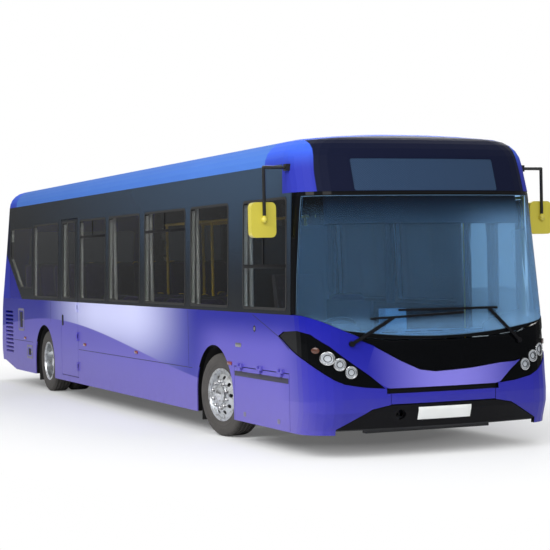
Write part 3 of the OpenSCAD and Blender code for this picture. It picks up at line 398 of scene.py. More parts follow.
def fabric(name, color, second):
    """Woven moquette with a small woven fleck."""
    n = Nodes(name)
    weave = n.add("ShaderNodeTexWave", wave_type="BANDS", bands_direction="DIAGONAL")
    weave.inputs["Scale"].default_value = 95.0
    weave.inputs["Distortion"].default_value = 3.0
    n.link(n.coord, weave.inputs["Vector"])
    cells = n.add("ShaderNodeTexVoronoi")
    cells.inputs["Scale"].default_value = 34.0
    n.link(n.coord, cells.inputs["Vector"])
    fleck = n.step(cells.outputs["Distance"], 0.24, 0.16)
    woven = n.mix(weave.outputs["Fac"], color, shade(color, 0.7))
    n.set(Base_Color=n.mix(n.math("MULTIPLY", fleck, 0.7), woven, second), Roughness=0.92, Sheen_Weight=0.35)
    n.bump(weave.outputs["Fac"], 0.35, 0.001)
    return n.mat


def tyre_rubber():
    n = Nodes("tyre_rubber")
    fine, broad = n.noise(180.0), n.noise(11.0, 5.0)
    n.set(Base_Color=n.mix(broad, srgb(52, 50, 49), srgb(86, 83, 80)), Specular_IOR_Level=0.35)
    n.put(n.shader.inputs["Roughness"], n.math("ADD", 0.62, n.math("MULTIPLY", broad, 0.28)))
    n.bump(fine, 0.18, 0.0015)
    return n.mat


def bright_metal(name, color, rough, grime):
    n = Nodes(name)
    spots = n.noise(26.0, 6.0)
    dirt = n.math("MULTIPLY", n.step(spots, 0.48, 0.70), grime)
    n.set(Base_Color=n.mix(dirt, color, srgb(104, 98, 92)), Metallic=1.0)
    n.put(n.shader.inputs["Roughness"], n.math("ADD", rough, n.math("MULTIPLY", dirt, 0.5)))
    n.bump(spots, 0.03)
    return n.mat


def lens(name, color):
    """Ribbed lamp lens."""
    n = Nodes(name)
    ribs = n.add("ShaderNodeTexWave", wave_type="BANDS", bands_direction="Z")
    ribs.inputs["Scale"].default_value = 40.0
    n.link(n.coord, ribs.inputs["Vector"])
    n.set(Base_Color=n.mix(ribs.outputs["Fac"], color, shade(color, 0.72)), Roughness=0.12, Coat_Weight=0.6)
    n.bump(ribs.outputs["Fac"], 0.2, 0.002)
    return n.mat


def display_glass():
    """Blank display: a fine grid of unlit dots behind dark glass."""
    n = Nodes("display_glass")
    waves = [n.math("SINE", n.math("MULTIPLY", place, 420.0)) for place in n.xyz()[1:]]
    grid = n.product(*waves)
    dots = n.math("MULTIPLY", n.step(grid, 0.2, 0.7), 0.6)
    color = n.mix(dots, srgb(30, 50, 76), srgb(66, 92, 124))
    n.set(Base_Color=color, Roughness=0.30, IOR=1.2, Coat_Weight=0.1)
    n.bump(grid, 0.05, 0.001)
    return n.mat


def escape_paint():
    """The escape door carries the livery below the waist and the dark band above it."""
    n = Nodes("escape_door_paint")
    x, y, z = n.xyz()
    color = n.mix(n.step(z, WAIST - 0.002, WAIST + 0.002), livery_color(n, x, z), srgb(24, 29, 35))
    return finish_paint(n, color, (x, y, z))


M = {
    "violet": livery(),
    "escape": escape_paint(),
    "panel": panel_paint(),
    "dome": dome_paint(),
    "roof": roof_paint(),
    "band": band_paint(),
    "side_glass": glazing("side_glass", srgb(206, 210, 212), level=0.14).mat,
    "tinted_glass": glazing("tinted_glass", srgb(34, 37, 41), level=0.25).mat,
    "door_glass": glazing("door_glass", srgb(150, 162, 168), level=0.25).mat,
    "screen": screen_glass(),
    "display": display_glass(),
    "mirrors": mirror_paint(),
    "gloss_black": plain("gloss_black", srgb(6, 7, 9), 0.22, coat=0.04, bump=0.02, ior=1.14),
    "satin_black": plain("satin_black", srgb(12, 12, 15), 0.45, ior=1.2),
    "rubber": plain("rubber_trim", srgb(16, 16, 17), 0.68, grain=140.0, bump=0.12),
    "liner": plain("arch_liner", srgb(26, 25, 25), 0.82, grain=90.0, spread=0.3, bump=0.35),
    "cast": plain("cast_steel", srgb(52, 52, 54), 0.58, 0.6, grain=110.0, spread=0.3, bump=0.3),
    "frame_paint": plain("frame_paint", srgb(44, 45, 48), 0.55, 0.2, spread=0.25, bump=0.15),
    "floor": plain("speckled_floor", srgb(58, 62, 72), 0.7, grain=420.0, spread=0.2, bump=0.2),
    "lining": plain("pale_lining", srgb(240, 236, 226), 0.55, grain=200.0, bump=0.1),
    "dash": plain("dash_moulding", srgb(160, 178, 192), 0.6, grain=320.0, bump=0.2),
    "dark_panel": plain("dark_panel", srgb(38, 44, 54), 0.5, grain=260.0, bump=0.12),
    "pale_panel": plain("pale_panel", srgb(196, 204, 204), 0.45, grain=200.0),
    "strip_grey": plain("strip_grey", srgb(40, 38, 58), 0.5),
    "flap_grey": plain("flap_grey", srgb(112, 108, 132), 0.45),
    "pole": plain("pole_coating", srgb(242, 196, 40), 0.38, grain=240.0, bump=0.06, coat=0.2),
    "tyre": tyre_rubber(),
    "chrome": bright_metal("chrome_trim", srgb(226, 228, 232), 0.10, 0.35),
    "silver": bright_metal("silver_wheel", srgb(200, 203, 206), 0.30, 0.6),
    "steel": bright_metal("bolt_steel", srgb(170, 170, 172), 0.30, 0.5),
    "mirror_glass": bright_metal("mirror_glass", srgb(232, 236, 240), 0.03, 0.05),
    "headlamp": lens("headlamp_lens", srgb(214, 220, 228)),
    "amber": lens("amber_lens", srgb(78, 36, 16)),
    "red": lens("red_lens", srgb(176, 18, 22)),
    "marker": lens("marker_lens", srgb(132, 44, 46)),
    "plate": plain("plate_sheet", srgb(232, 234, 232), 0.35, bump=0.02),
    "moquette": fabric("seat_moquette", srgb(50, 38, 92), srgb(106, 90, 150)),
    "driver_cloth": fabric("driver_cloth", srgb(38, 36, 48), srgb(80, 74, 104)),
    "blind": fabric("blind_cloth", srgb(20, 26, 34), srgb(26, 32, 42)),
}

DRESS = {
    "violet": "right_skirt left_skirt front_corners front_bumper rear_corners rear_bumper engine_cover "
              "locker_door",
    "escape": "escape_door_leaf",
    "panel": "front_panel",
    "dome": "front_dome rear_dome",
    "roof": "roof_panel",
    "band": "right_window_frame left_window_frame cove_panels",
    "side_glass": "right_windows_glass escape_door_glass",
    "tinted_glass": "left_windows_glass rear_window_glass",
    "door_glass": "entrance_pane_rear entrance_pane_front",
    "screen": "windscreen",
    "display": "destination_glass",
    "gloss_black": "front_hood headlamp_housings",
    "satin_black": "front_valance windscreen_wipers entrance_leaf_rear entrance_leaf_front steering_wheel",
    "liner": "wheel_boxes",
    "rubber": "mud_flaps",
    "cast": "engine front_axle rear_axle knuckle_right knuckle_left",
    "frame_paint": "chassis_frame front_frame",
    "floor": "floor_deck",
    "dash": "dashboard",
    "dark_panel": "cab_partition",
    "pole": "handrails entrance_post_rear entrance_post_front",
    "silver": "front_rim_right front_rim_left rear_rims_right rear_rims_left",
    "tyre": "front_tyre_right front_tyre_left rear_tyres_right rear_tyres_left",
    "mirrors": "mirrors",
    "headlamp": "headlamps",
    "red": "rear_lamp_lenses",
    "moquette": "passenger_seats",
    "driver_cloth": "driver_seat",
}
for key, names in DRESS.items():
    for name in names.split():
        mesh = nodes[name].data
        mesh.materials.clear()
        mesh.materials.append(M[key])


# Mesh tools

class Shape:
    """Collects faces of one piece."""

    def __init__(self):
        self.verts, self.faces = [], []

    def grid(self, rows, close=False, wrap=False):
        """Joins rows of points. Close joins the ends of each row, wrap joins the last row to the first."""
        start, m, n = len(self.verts), len(rows), len(rows[0])
        for row in rows:
            self.verts += [tuple(p) for p in row]
        for k in range(m if wrap else m - 1):
            for j in range(n if close else n - 1):
                a, b = start + k * n, start + (k + 1) % m * n
                self.faces.append((a + j, a + (j + 1) % n, b + (j + 1) % n, b + j))
        return start

    def cap(self, points):
        start = len(self.verts)
        self.verts += [tuple(p) for p in points]
        self.faces.append(tuple(range(start, start + len(points))))

    def slab(self, outline, place, low, high):
        """A plate on a surface: outline in the surface's own two directions, between two heights above it."""
        bottom = [place(a, b, low) for a, b in outline]
        top = [place(a, b, high) for a, b in outline]
        start = self.grid([bottom, top], close=True)
        n = len(outline)
        self.faces.append(tuple(start + n + k for k in range(n)))
        self.faces.append(tuple(start + k for k in reversed(range(n))))

    def plate(self, place, a0, a1, b0, b1, low, high, n=12, m=4):
        """A rectangular plate that follows a curved surface."""
        def at(k, j, h):
            return place(a0 + (a1 - a0) * k / n, b0 + (b1 - b0) * j / m, h)
        top = [[at(k, j, high) for j in range(m + 1)] for k in range(n + 1)]
        bottom = [[at(k, j, low) for j in range(m + 1)] for k in range(n + 1)]
        self.grid(top)
        self.grid(bottom)
        edge = [(k, 0) for k in range(n)] + [(n, j) for j in range(m)] + [(k, m) for k in range(n, 0, -1)]
        edge += [(0, j) for j in range(m, 0, -1)]
        self.grid([[at(k, j, low) for k, j in edge], [at(k, j, high) for k, j in edge]], close=True)

    def ring(self, outline, width, place, low, high):
        """A closed border along an outline, drawn inward by width."""
        inner = inset(outline, width)
        rows = []
        for line, h in ((outline, low), (outline, high), (inner, high), (inner, low)):
            rows.append([place(a, b, h) for a, b in line])
        self.grid(rows, close=True, wrap=True)

    def strip(self, points, width, place, low, high):
        """A band along an open line."""
        left, right = [], []
        for k, p in enumerate(points):
            a, b = points[max(k - 1, 0)], points[min(k + 1, len(points) - 1)]
            d = math.hypot(b[0] - a[0], b[1] - a[1])
            n = (-(b[1] - a[1]) / d * width / 2, (b[0] - a[0]) / d * width / 2)
            left.append((p[0] + n[0], p[1] + n[1]))
            right.append((p[0] - n[0], p[1] - n[1]))
        self.slab(right + left[::-1], place, low, high)

    def box(self, low, high):
        (a, b, c), (d, e, f) = low, high
        self.slab([(a, b), (d, b), (d, e), (a, e)], flat, c, f)

    def tube(self, points, r, n=12):
        """A round bar through points."""
        points = [Vector(p) for p in points]
        rows, side = [], None
        for k, p in enumerate(points):
            t = (points[min(k + 1, len(points) - 1)] - points[max(k - 1, 0)]).normalized()
            ref = side or (Vector((0, 0, 1)) if abs(t.z) < 0.9 else Vector((1, 0, 0)))
            u = (ref - t * ref.dot(t)).normalized()
            v = t.cross(u)
            side = u
            rows.append([p + (u * math.cos(2 * math.pi * j / n) + v * math.sin(2 * math.pi * j / n)) * r
                         for j in range(n)])
        self.grid(rows, close=True)
        self.cap(rows[0][::-1])
        self.cap(rows[-1])

    def lathe(self, profile, frame, n=48, bumps=None):
        """Turns a profile of (radius, along) about a frame's Z axis; ends on the axis are closed."""
        rows = []
        for i, (r, w) in enumerate(profile):
            row = []
            for k in range(n):
                a, q = 2 * math.pi * k / n, r + (bumps(i, k) if bumps else 0.0)
                row.append(frame @ Vector((q * math.cos(a), q * math.sin(a), w)))
            rows.append(row)
        self.grid(rows, close=True)

    def make(self, name, mat, body="body", slot=None, bevel=0.0, smooth=True):
        mesh = bpy.data.meshes.new(name)
        mesh.from_pydata(self.verts, [], self.faces)
        mesh.update()
        ob = bpy.data.objects.new(name, mesh)
        scene.collection.objects.link(ob)
        mesh.materials.append(M[mat])
        bm_clean(mesh)
        if bevel:
            mod = ob.modifiers.new("bevel", "BEVEL")
            mod.width, mod.segments, mod.limit_method, mod.angle_limit = bevel, 2, "ANGLE", math.radians(40)
            mod.harden_normals = False
        if smooth:
            mesh.shade_smooth()
            mod = ob.modifiers.new("edges", "EDGE_SPLIT")
            mod.split_angle = math.radians(38)
        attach(ob, body)
        return ob


def bm_clean(mesh):
    """Joins doubled points and turns all faces outward."""
    bm = bmesh.new()
    bm.from_mesh(mesh)
    bmesh.ops.remove_doubles(bm, verts=bm.verts, dist=1e-6)
    bmesh.ops.recalc_face_normals(bm, faces=bm.faces)
    bm.to_mesh(mesh)
    bm.free()


def inset(outline, d):
    """Moves each point of a closed outline inward."""
    area = sum(p[0] * q[1] - q[0] * p[1] for p, q in zip(outline, outline[1:] + outline[:1]))
    shift = d if area > 0 else -d
    out = []
    for k, (x, y) in enumerate(outline):
        a, b = outline[k - 1], outline[(k + 1) % len(outline)]
        length = math.hypot(b[0] - a[0], b[1] - a[1])
        out.append((x - shift * (b[1] - a[1]) / length, y + shift * (b[0] - a[0]) / length))
    return out


def arc(cx, cy, r, a0, a1, n):
    return [(cx + r * math.cos(math.radians(a0 + (a1 - a0) * k / n)),
             cy + r * math.sin(math.radians(a0 + (a1 - a0) * k / n))) for k in range(n + 1)]


def round_rect(x0, z0, x1, z1, r, n=5):
    return (arc(x1 - r, z1 - r, r, 0, 90, n) + arc(x0 + r, z1 - r, r, 90, 180, n)
            + arc(x0 + r, z0 + r, r, 180, 270, n) + arc(x1 - r, z0 + r, r, 270, 360, n))


def flat(a, b, h):
    """A level surface, with heights over the road."""
    return (a, b, h)


def circle(cx, cy, r, n=24):
    return arc(cx, cy, r, 0, 360 * (n - 1) / n, n - 1)


def split(points, count):
    """Adds points along the sides of an outline, so that it follows a curved face."""
    out = []
    for k, p in enumerate(points):
        q = points[(k + 1) % len(points)]
        out += [(p[0] + (q[0] - p[0]) * j / count, p[1] + (q[1] - p[1]) * j / count) for j in range(count)]
    return out


# Side trim

def ax(mm):
    """A place along the bus, measured from the front axle in millimetres."""
    return AXLE + mm / 1000


# Windows of each side, in millimetres from the front axle; the rear quarter windows' points with heights
RIGHT = [(800, 1830), (-660, 411), (-2172, -826), (-3546, -2356), (-4801, -3686), (-7150, -5855)]
LEFT = [(-660, 560), (-2172, -826), (-3546, -2356), (-4801, -3686), (-5708, -4945), (-7150, -5855)]
QUARTER = [(-8500, 2260), (-8546, 1843), (-7922, 1410), (-7270, 1410), (-7250, 2260)]
GLASS_LOW, GLASS_HIGH, HOPPER_Z, CAB_RAIL_Z = 1.290, 2.280, 2.07, 1.675
PILLAR_Y, PILLAR_HALF, PILLAR_LOW, PILLAR_HIGH = 1.118, 0.022, 1.25, 2.42
WIDE_PILLAR, JAMB = 500, 150


def window_trim():
    """Gaskets, hopper and cab rails, and pillar linings behind the glass."""
    for side, windows, word in ((-1, RIGHT, "right"), (1, LEFT, "left")):
        gasket, bars, lining = Shape(), Shape(), Shape()
        place = on_side(side)
        for a, b in windows:
            line = round_rect(ax(a) - 0.010, GLASS_LOW - 0.010, ax(b) + 0.010, GLASS_HIGH + 0.010, 0.052)
            gasket.ring(split(line, 2), 0.024, place, -0.004, 0.0025)
        gasket.ring([(ax(x), z / 1000) for x, z in QUARTER], 0.016, place, -0.004, 0.0025)
        for a, b in windows[2:5:2]:
            middle = ax(a) / 2 + ax(b) / 2
            bars.strip([(ax(a), HOPPER_Z), (ax(b), HOPPER_Z)], 0.030, place, -0.005, 0.003)
            bars.strip([(middle, HOPPER_Z), (middle, GLASS_HIGH)], 0.024, place, -0.005, 0.002)
        if side < 0:
            bars.strip([(ax(800), CAB_RAIL_Z), (ax(1830), CAB_RAIL_Z)], 0.034, place, -0.005, 0.003)
            bars.strip([(ax(1290), CAB_RAIL_Z), (ax(1290), GLASS_HIGH)], 0.030, place, -0.005, 0.003)
        for ahead, behind in zip(windows, windows[1:]):
            p, q = behind[1], ahead[0]
            if q - p > WIDE_PILLAR:
                q = p + JAMB
            y = side * PILLAR_Y
            line = round_rect(ax(p) + 0.012, y - PILLAR_HALF, ax(q) - 0.012, y + PILLAR_HALF, 0.018, 4)
            lining.slab(line, flat, PILLAR_LOW, PILLAR_HIGH)
        gasket.make(word + "_window_gaskets", "rubber")
        bars.make(word + "_window_bars", "satin_black", bevel=0.0015)
        lining.make(word + "_pillar_linings", "lining" if side < 0 else "dark_panel", bevel=0.004)


# Long seam of the skirts: height, and where it ends behind on the right and on the left
SKIRT_SEAM_Z, RIGHT_SEAM_END, LEFT_SEAM_END = 0.645, -4900, -5980


def side_details():
    """Seams, flaps, marker lamps and locks of the sides."""
    right, left = on_side(-1), on_side(1)
    seams, markers, fittings, frames = Shape(), Shape(), Shape(), Shape()
    for place, end in ((right, RIGHT_SEAM_END), (left, LEFT_SEAM_END)):
        for a, b in ((end, -640), (-8380, -7240)):
            seams.strip([(ax(a), SKIRT_SEAM_Z), (ax(b), SKIRT_SEAM_Z)], 0.006, place, -0.001, 0.0006)
        for x, low in ((-745, 0.66), (-6250, 0.95)):
            seams.strip([(ax(x), low), (ax(x), WAIST - 0.010)], 0.005, place, -0.001, 0.0006)
        for a, b, low, high in ((-8070, -7740, 0.786, 1.110), (-7600, -7275, 0.406, 0.600)):
            panel = round_rect(ax(a) + 0.09, low + 0.05, ax(b) - 0.09, high - 0.05, 0.015)
            frames.ring(round_rect(ax(a), low, ax(b), high, 0.03), 0.032, place, -0.001, 0.003)
            seams.slab(panel, place, -0.001, 0.0012)
            fittings.slab(circle(ax(b) - 0.06, (low + high) / 2, 0.014), place, -0.001, 0.003)
        for x, z in ((435, 0.748), (-2500, 0.720), (-4600, 0.720), (-7690, 0.690)):
            line = round_rect(ax(x) - 0.052, z - 0.017, ax(x) + 0.052, z + 0.017, 0.012)
            markers.slab(line, place, -0.001, 0.010)
    seams.strip([(ax(1040), 1.230), (ax(1640), 1.050), (ax(1880), 0.940)], 0.006, right, -0.001, 0.0006)
    fittings.slab(round_rect(ax(590), 0.912, ax(740), 0.952, 0.018), right, -0.001, 0.004)
    seams.slab(circle(ax(1080), 1.100, 0.030), right, -0.001, 0.0012)
    fittings.slab(circle(ax(1080), 1.100, 0.016), right, -0.001, 0.004)
    frames.make("flap_frames", "flap_grey", bevel=0.001)
    seams.make("panel_seams", "rubber")
    markers.make("side_markers", "marker", bevel=0.003)
    fittings.make("side_locks", "steel", bevel=0.001)


def locker_and_escape_trim():
    right = on_side(-1)
    strip, latches, gasket, handle = Shape(), Shape(), Shape(), Shape()
    strip.strip([(ax(560), 0.660), (ax(1855), 0.660)], 0.046, right, -0.001, 0.005)
    for x in (800, 1620):
        latches.slab(round_rect(ax(x) - 0.03, 0.262, ax(x) + 0.03, 0.306, 0.012), right, -0.001, 0.003)
    strip.make("locker_rubbing_strip", "strip_grey", "locker", bevel=0.003)
    latches.make("locker_latches", "flap_grey", "locker", bevel=0.001)
    gasket.ring(split(round_rect(ax(-5620), 1.280, ax(-5020), 2.290, 0.05), 2), 0.022, right, -0.004, 0.0025)
    handle.slab(round_rect(ax(-5670), 0.930, ax(-5600), 1.070, 0.02), right, -0.001, 0.004)
    gasket.make("escape_window_gasket", "rubber", "escape_door")
    handle.make("escape_door_handle", "satin_black", "escape_door", bevel=0.001)


# Front and rear trim

# Headlamps: place across, height, radius; the same for the indicator outside them
LAMPS = [(1.058, 0.876, 0.052), (0.962, 0.822, 0.048), (0.866, 0.752, 0.048)]
INDICATOR = (1.140, 0.945, 0.026)
# Lower edges of the number plates, slot over the bumper
FRONT_PLATE_Z, REAR_PLATE_Z = 0.318, 0.365
SLOT_HALF, SLOT_LOW, SLOT_HIGH = 0.550, 0.557, 0.604
# Sun blind: half width, heights of its folds from the top, depth behind the skin, thickness
BLIND_HALF, BLIND_FOLDS, BLIND_DEPTH, BLIND_THICK = 1.0, (2.285, 2.20, 2.12, 2.04), 0.075, 0.004
# Rear skin: height over the road and how far it lies ahead of the rearmost point there; radius of its bow
REAR_PROFILE = [(0.300, 0.070), (0.345, 0.040), (0.480, 0.0), (0.640, 0.0), (1.100, 0.060), (1.245, 0.105),
                (1.950, 0.336)]
REAR_BOW_R = 9.0


def on_rear(a, b, h):
    tip = -FRONT_TIP + lookup(b, REAR_PROFILE)
    return (tip + REAR_BOW_R - math.sqrt(REAR_BOW_R * REAR_BOW_R - a * a) - h, a, b)


def evenly(half, count):
    """Places from one side to the other."""
    return [2 * half * k / count - half for k in range(count + 1)]


def front_lamps():
    rings, inner, amber = Shape(), Shape(), Shape()
    for side in (-1, 1):
        for y, z, r in LAMPS:
            rings.ring(circle(side * y, z, r + 0.006, 40), 0.010, on_front, -0.002, 0.004)
            inner.ring(circle(side * y, z, r * 0.62, 32), 0.006, on_front, -0.001, 0.002)
        y, z, r = INDICATOR
        amber.slab(circle(side * y, z, r, 28), on_front, -0.001, 0.005)
    rings.make("headlamp_rings", "chrome", bevel=0.001)
    inner.make("headlamp_projectors", "satin_black")
    amber.make("front_indicators", "amber", bevel=0.002)


def front_details():
    """Plate, dark sheet behind the slot, sun blind and mirror glasses."""
    plate, sheet, blind, roller, glass = Shape(), Shape(), Shape(), Shape(), Shape()
    half = PLATE_W / 2
    plate.plate(on_front, -half, half, FRONT_PLATE_Z, FRONT_PLATE_Z + PLATE_H, -0.004, 0.0035)
    plate.make("front_plate", "plate", bevel=0.001)
    sheet.plate(on_front, -SLOT_HALF, SLOT_HALF, SLOT_LOW, SLOT_HIGH, -0.030, -0.026)
    sheet.make("intake_mesh", "satin_black")
    across = evenly(BLIND_HALF, 40)
    rows = [[on_front(y, z, -BLIND_DEPTH) for y in across] for z in BLIND_FOLDS]
    for z in (BLIND_FOLDS[-1], BLIND_FOLDS[0]):
        rows.append([on_front(y, z, -BLIND_DEPTH - BLIND_THICK) for y in across])
    blind.grid(rows, wrap=True)
    blind.make("sun_blind", "blind")
    bar_z, bar_depth = BLIND_FOLDS[-1] - 0.005, BLIND_DEPTH + BLIND_THICK / 2
    roller.tube([on_front(y, bar_z, -bar_depth) for y in evenly(BLIND_HALF, 20)], 0.009)
    roller.make("sun_blind_bar", "satin_black")
    line = round_rect(-0.100, -0.137, 0.100, 0.137, 0.030)
    for side in (-1, 1):
        glass.slab(line, lambda a, b, h: (ax(1747) - h, side * MIRROR_Y + a, MIRROR_Z + b), -0.002, 0.002)
    glass.make("mirror_glasses", "mirror_glass")


def rear_details():
    """Slats of the engine cover and the rear plate."""
    slats, plate = Shape(), Shape()
    for k in range(9):
        z = 0.640 + 0.042 * k
        slats.strip([(y, z) for y in evenly(0.6, 12)], 0.020, on_rear, -0.002, 0.0)
    slats.make("engine_grille", "satin_black", "engine_lid", bevel=0.002)
    half = PLATE_W / 2
    plate.plate(on_rear, -half, half, REAR_PLATE_Z, REAR_PLATE_Z + PLATE_H, -0.008, 0.0)
    plate.make("rear_plate", "plate", bevel=0.001)


# Wheels

def wheel_frame(centre, outboard):
    z = Vector(outboard).normalized()
    x = Vector((0, 0, 1)).cross(z).normalized()
    turn = Matrix((x, z.cross(x), z)).transposed().to_4x4()
    return Matrix.Translation(centre) @ turn


def steered(side):
    """Middle and outboard direction of a front wheel at its rest angle."""
    out = (-side * math.sin(REST_STEER), side * math.cos(REST_STEER), 0)
    pin_y = side * (WHEEL_Y - PIN_OFFSET)
    return (AXLE + PIN_OFFSET * out[0], pin_y + PIN_OFFSET * out[1], TYRE_R), out


def tyre_profile():
    """Section as (radius, along): from one bead to the shoulder, four grooves, and down to the other bead."""
    half = [(0.2515, 0.100), (0.2640, 0.112), (0.2760, 0.1150), (0.2860, 0.1140), (0.3000, 0.1190),
            (0.3060, 0.1210), (0.3100, 0.1192), (0.3300, 0.1222), (0.3440, 0.1238), (0.3480, 0.1226),
            (0.3560, 0.1230), (0.3720, 0.1205), (0.3840, 0.1180), (0.3930, 0.1135), (0.4010, 0.1080),
            (0.4080, 0.1000), (0.4110, 0.0900)]
    tread = []
    for c in (0.066, 0.022, -0.022, -0.066):
        tread += [(TYRE_R, c + 0.0085), (0.4005, c + 0.0055), (0.4005, c - 0.0055), (TYRE_R, c - 0.0085)]
    return half + tread + [(r, -w) for r, w in reversed(half)]


# Profiles as (radius, along): a wheel nut, and hub caps by axle
NUT = [(0.0, 0.0), (0.021, 0.0), (0.021, 0.005), (0.0165, 0.007), (0.0165, 0.024), (0.013, 0.027),
       (0.010, 0.034), (0.0, 0.036)]
HUB = {"front": [(0.0, 0.158), (0.030, 0.156), (0.062, 0.149), (0.078, 0.138), (0.082, 0.120), (0.0, 0.120)],
       "rear": [(0.0, 0.060), (0.030, 0.059), (0.078, 0.055), (0.086, 0.048), (0.088, 0.036), (0.0, 0.036)]}
# Where the nuts seat along the axle, and the radius of their ring
NUT_SEAT = {"front": (0.121, 0.1300), "rear": (-0.142, 0.1375)}
NUT_COUNT = 10


def wheel(axle, side, word):
    """Treaded tyre in place of the plain one, two at the rear, with wheel nuts and a hub cap."""
    profile = tyre_profile()
    shoulder = {k for k, (r, w) in enumerate(profile) if abs(w) > 0.086 and r > 0.400}

    def blocks(i, k):
        return -0.006 if i in shoulder and k % 4 == 0 else 0.0

    rear = axle == "rear"
    centre, outboard = ((DRIVE, side * WHEEL_Y, TYRE_R), (0, side, 0)) if rear else steered(side)
    place = wheel_frame(centre, outboard)
    body = ("rear_wheels_" if rear else "front_wheel_") + word
    name = ("rear_tyres_" if rear else "front_tyre_") + word
    tyre, nuts, hub = Shape(), Shape(), Shape()
    for shift in ((0.0, -TWIN) if rear else (0.0,)):
        tyre.lathe(profile + profile[:1], place @ Matrix.Translation((0, 0, shift)), 176, blocks)
    ob = tyre.make(name + "_treaded", "tyre", body, "tyre")
    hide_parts(name)
    base, r = NUT_SEAT[axle]
    for k in range(NUT_COUNT):
        a = 2 * math.pi * (k + 0.5) / NUT_COUNT
        nuts.lathe(NUT, place @ Matrix.Translation((r * math.cos(a), r * math.sin(a), base)), 6)
    nuts.make("wheel_nuts_" + axle + "_" + word, "steel", body, smooth=False)
    hub.lathe(HUB[axle], place, 40)
    hub.make("hub_cap_" + axle + "_" + word, "chrome", body)


def wheels():
    for axle in ("front", "rear"):
        for side, word in ((-1, "right"), (1, "left")):
            wheel(axle, side, word)


# Seats and cab

def cushion(shape, frame, size, corner, rise, crown):
    """A stuffed pad: rounded edges that bulge and a top that rises to its middle."""
    sx, sy = size[0] / 2, size[1] / 2
    loops = [(0.010, 0.0), (0.002, 0.16), (0.0, 0.45), (0.001, 0.72), (0.008, 0.90), (0.022, 1.0),
             (0.045, 1.0), (0.080, 1.0), (0.120, 1.0), (0.150, 1.0)]
    rows = []
    for k, (d, t) in enumerate(loops):
        d = min(d, sx - 0.012, sy - 0.012)
        r = max(corner - d, 0.008)
        lift = crown * (1 - (1 - max(0, k - 4) / 5.0) ** 2)
        line = round_rect(-sx + d, -sy + d, sx - d, sy - d, r, 5)
        rows.append([frame @ Vector((x, y, rise * t + lift)) for x, y in line])
    shape.grid(rows, close=True)
    shape.cap(rows[-1])
    shape.cap(rows[0][::-1])


# Seat rows by side, in millimetres from the front axle; places of the two seats of a row; floor heights
ROWS = {-1: (-900, -1700, -2500, -3300, -4100, -6350, -7150, -7950),
        1: (-1300, -2100, -2900, -3700, -5550, -6350, -7150, -7950)}
SEATS_Y, SEAT_HALF = (0.275, 0.700), 0.2075
STEP_X, LOW_FLOOR, HIGH_FLOOR = -5000, 0.340, 0.740
BACK_TILT = math.atan2(0.110, 0.610)
# Turns a pad that lies flat so that it faces forward
UPRIGHT = Matrix(((0, 0, 1, 0), (0, 1, 0, 0), (-1, 0, 0, 0), (0, 0, 0, 1)))
# Hand grip on a seat back: forward, across, up
GRIP = [(-0.128, 0.300, 0.900), (-0.140, 0.290, 0.985), (-0.142, 0.310, 1.003), (-0.142, 0.360, 1.003),
        (-0.140, 0.385, 0.985), (-0.128, 0.375, 0.900)]


def seats():
    """Stuffed pads on shells, with grips and legs."""
    pads, shells, grips, legs = Shape(), Shape(), Shape(), Shape()
    for side, rows in ROWS.items():
        for row in rows:
            floor = HIGH_FLOOR if row < STEP_X else LOW_FLOOR
            for y in SEATS_Y:
                here = Matrix.Translation((ax(row), side * (y + SEAT_HALF), floor))
                base = here @ Matrix.Translation((0.236, 0, 0.404))
                cushion(pads, base, (0.395, 0.405), 0.06, 0.050, 0.014)
                back = here @ Matrix.Translation((-0.030, 0, 0.470)) @ Matrix.Rotation(-BACK_TILT, 4, "Y")
                rest = back @ Matrix.Translation((0.006, 0, 0.265)) @ UPRIGHT
                cushion(pads, rest, (0.525, 0.400), 0.07, 0.045, 0.012)
                line = round_rect(-0.206, -0.02, 0.206, 0.545, 0.05)
                shells.slab(line, lambda a, b, h: back @ Vector((h, a, b)), -0.018, 0.006)
                line = round_rect(0.035, -0.206, 0.440, 0.206, 0.05)
                shells.slab(line, lambda a, b, h: here @ Vector((a, b, h)), 0.384, 0.405)
            grips.tube([(ax(row) + x, side * y, floor + z) for x, y, z in GRIP], 0.011, 10)
            for y in (0.40, 0.98):
                low = (ax(row) + 0.16, side * y - 0.03, floor - 0.001)
                high = (ax(row) + 0.24, side * y + 0.03, floor + 0.386)
                legs.box(low, high)
    ob = pads.make("seat_cushions", "moquette", slot="seat", smooth=True)
    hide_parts("passenger_seats")
    shells.make("seat_shells", "dark_panel", bevel=0.004)
    grips.make("seat_grips", "pole")
    legs.make("seat_legs", "satin_black", bevel=0.004)


# Windscreen ledge: height at which it follows the skin, gap to it, rear edge at the cab and beside it,
# and where the cab ends across
LEDGE_Z, LEDGE_GAP, CAB_EDGE_X, NEAR_EDGE_X, CAB_EDGE_Y = 1.075, 0.052, 5.200, 5.375, 0.27
# Its section: share of the way from front to rear, height
LEDGE = [(0.0, 1.045), (0.0, 1.068), (0.1, 1.078), (0.55, 1.082), (0.95, 1.076), (1.0, 1.062), (1.0, 1.030)]


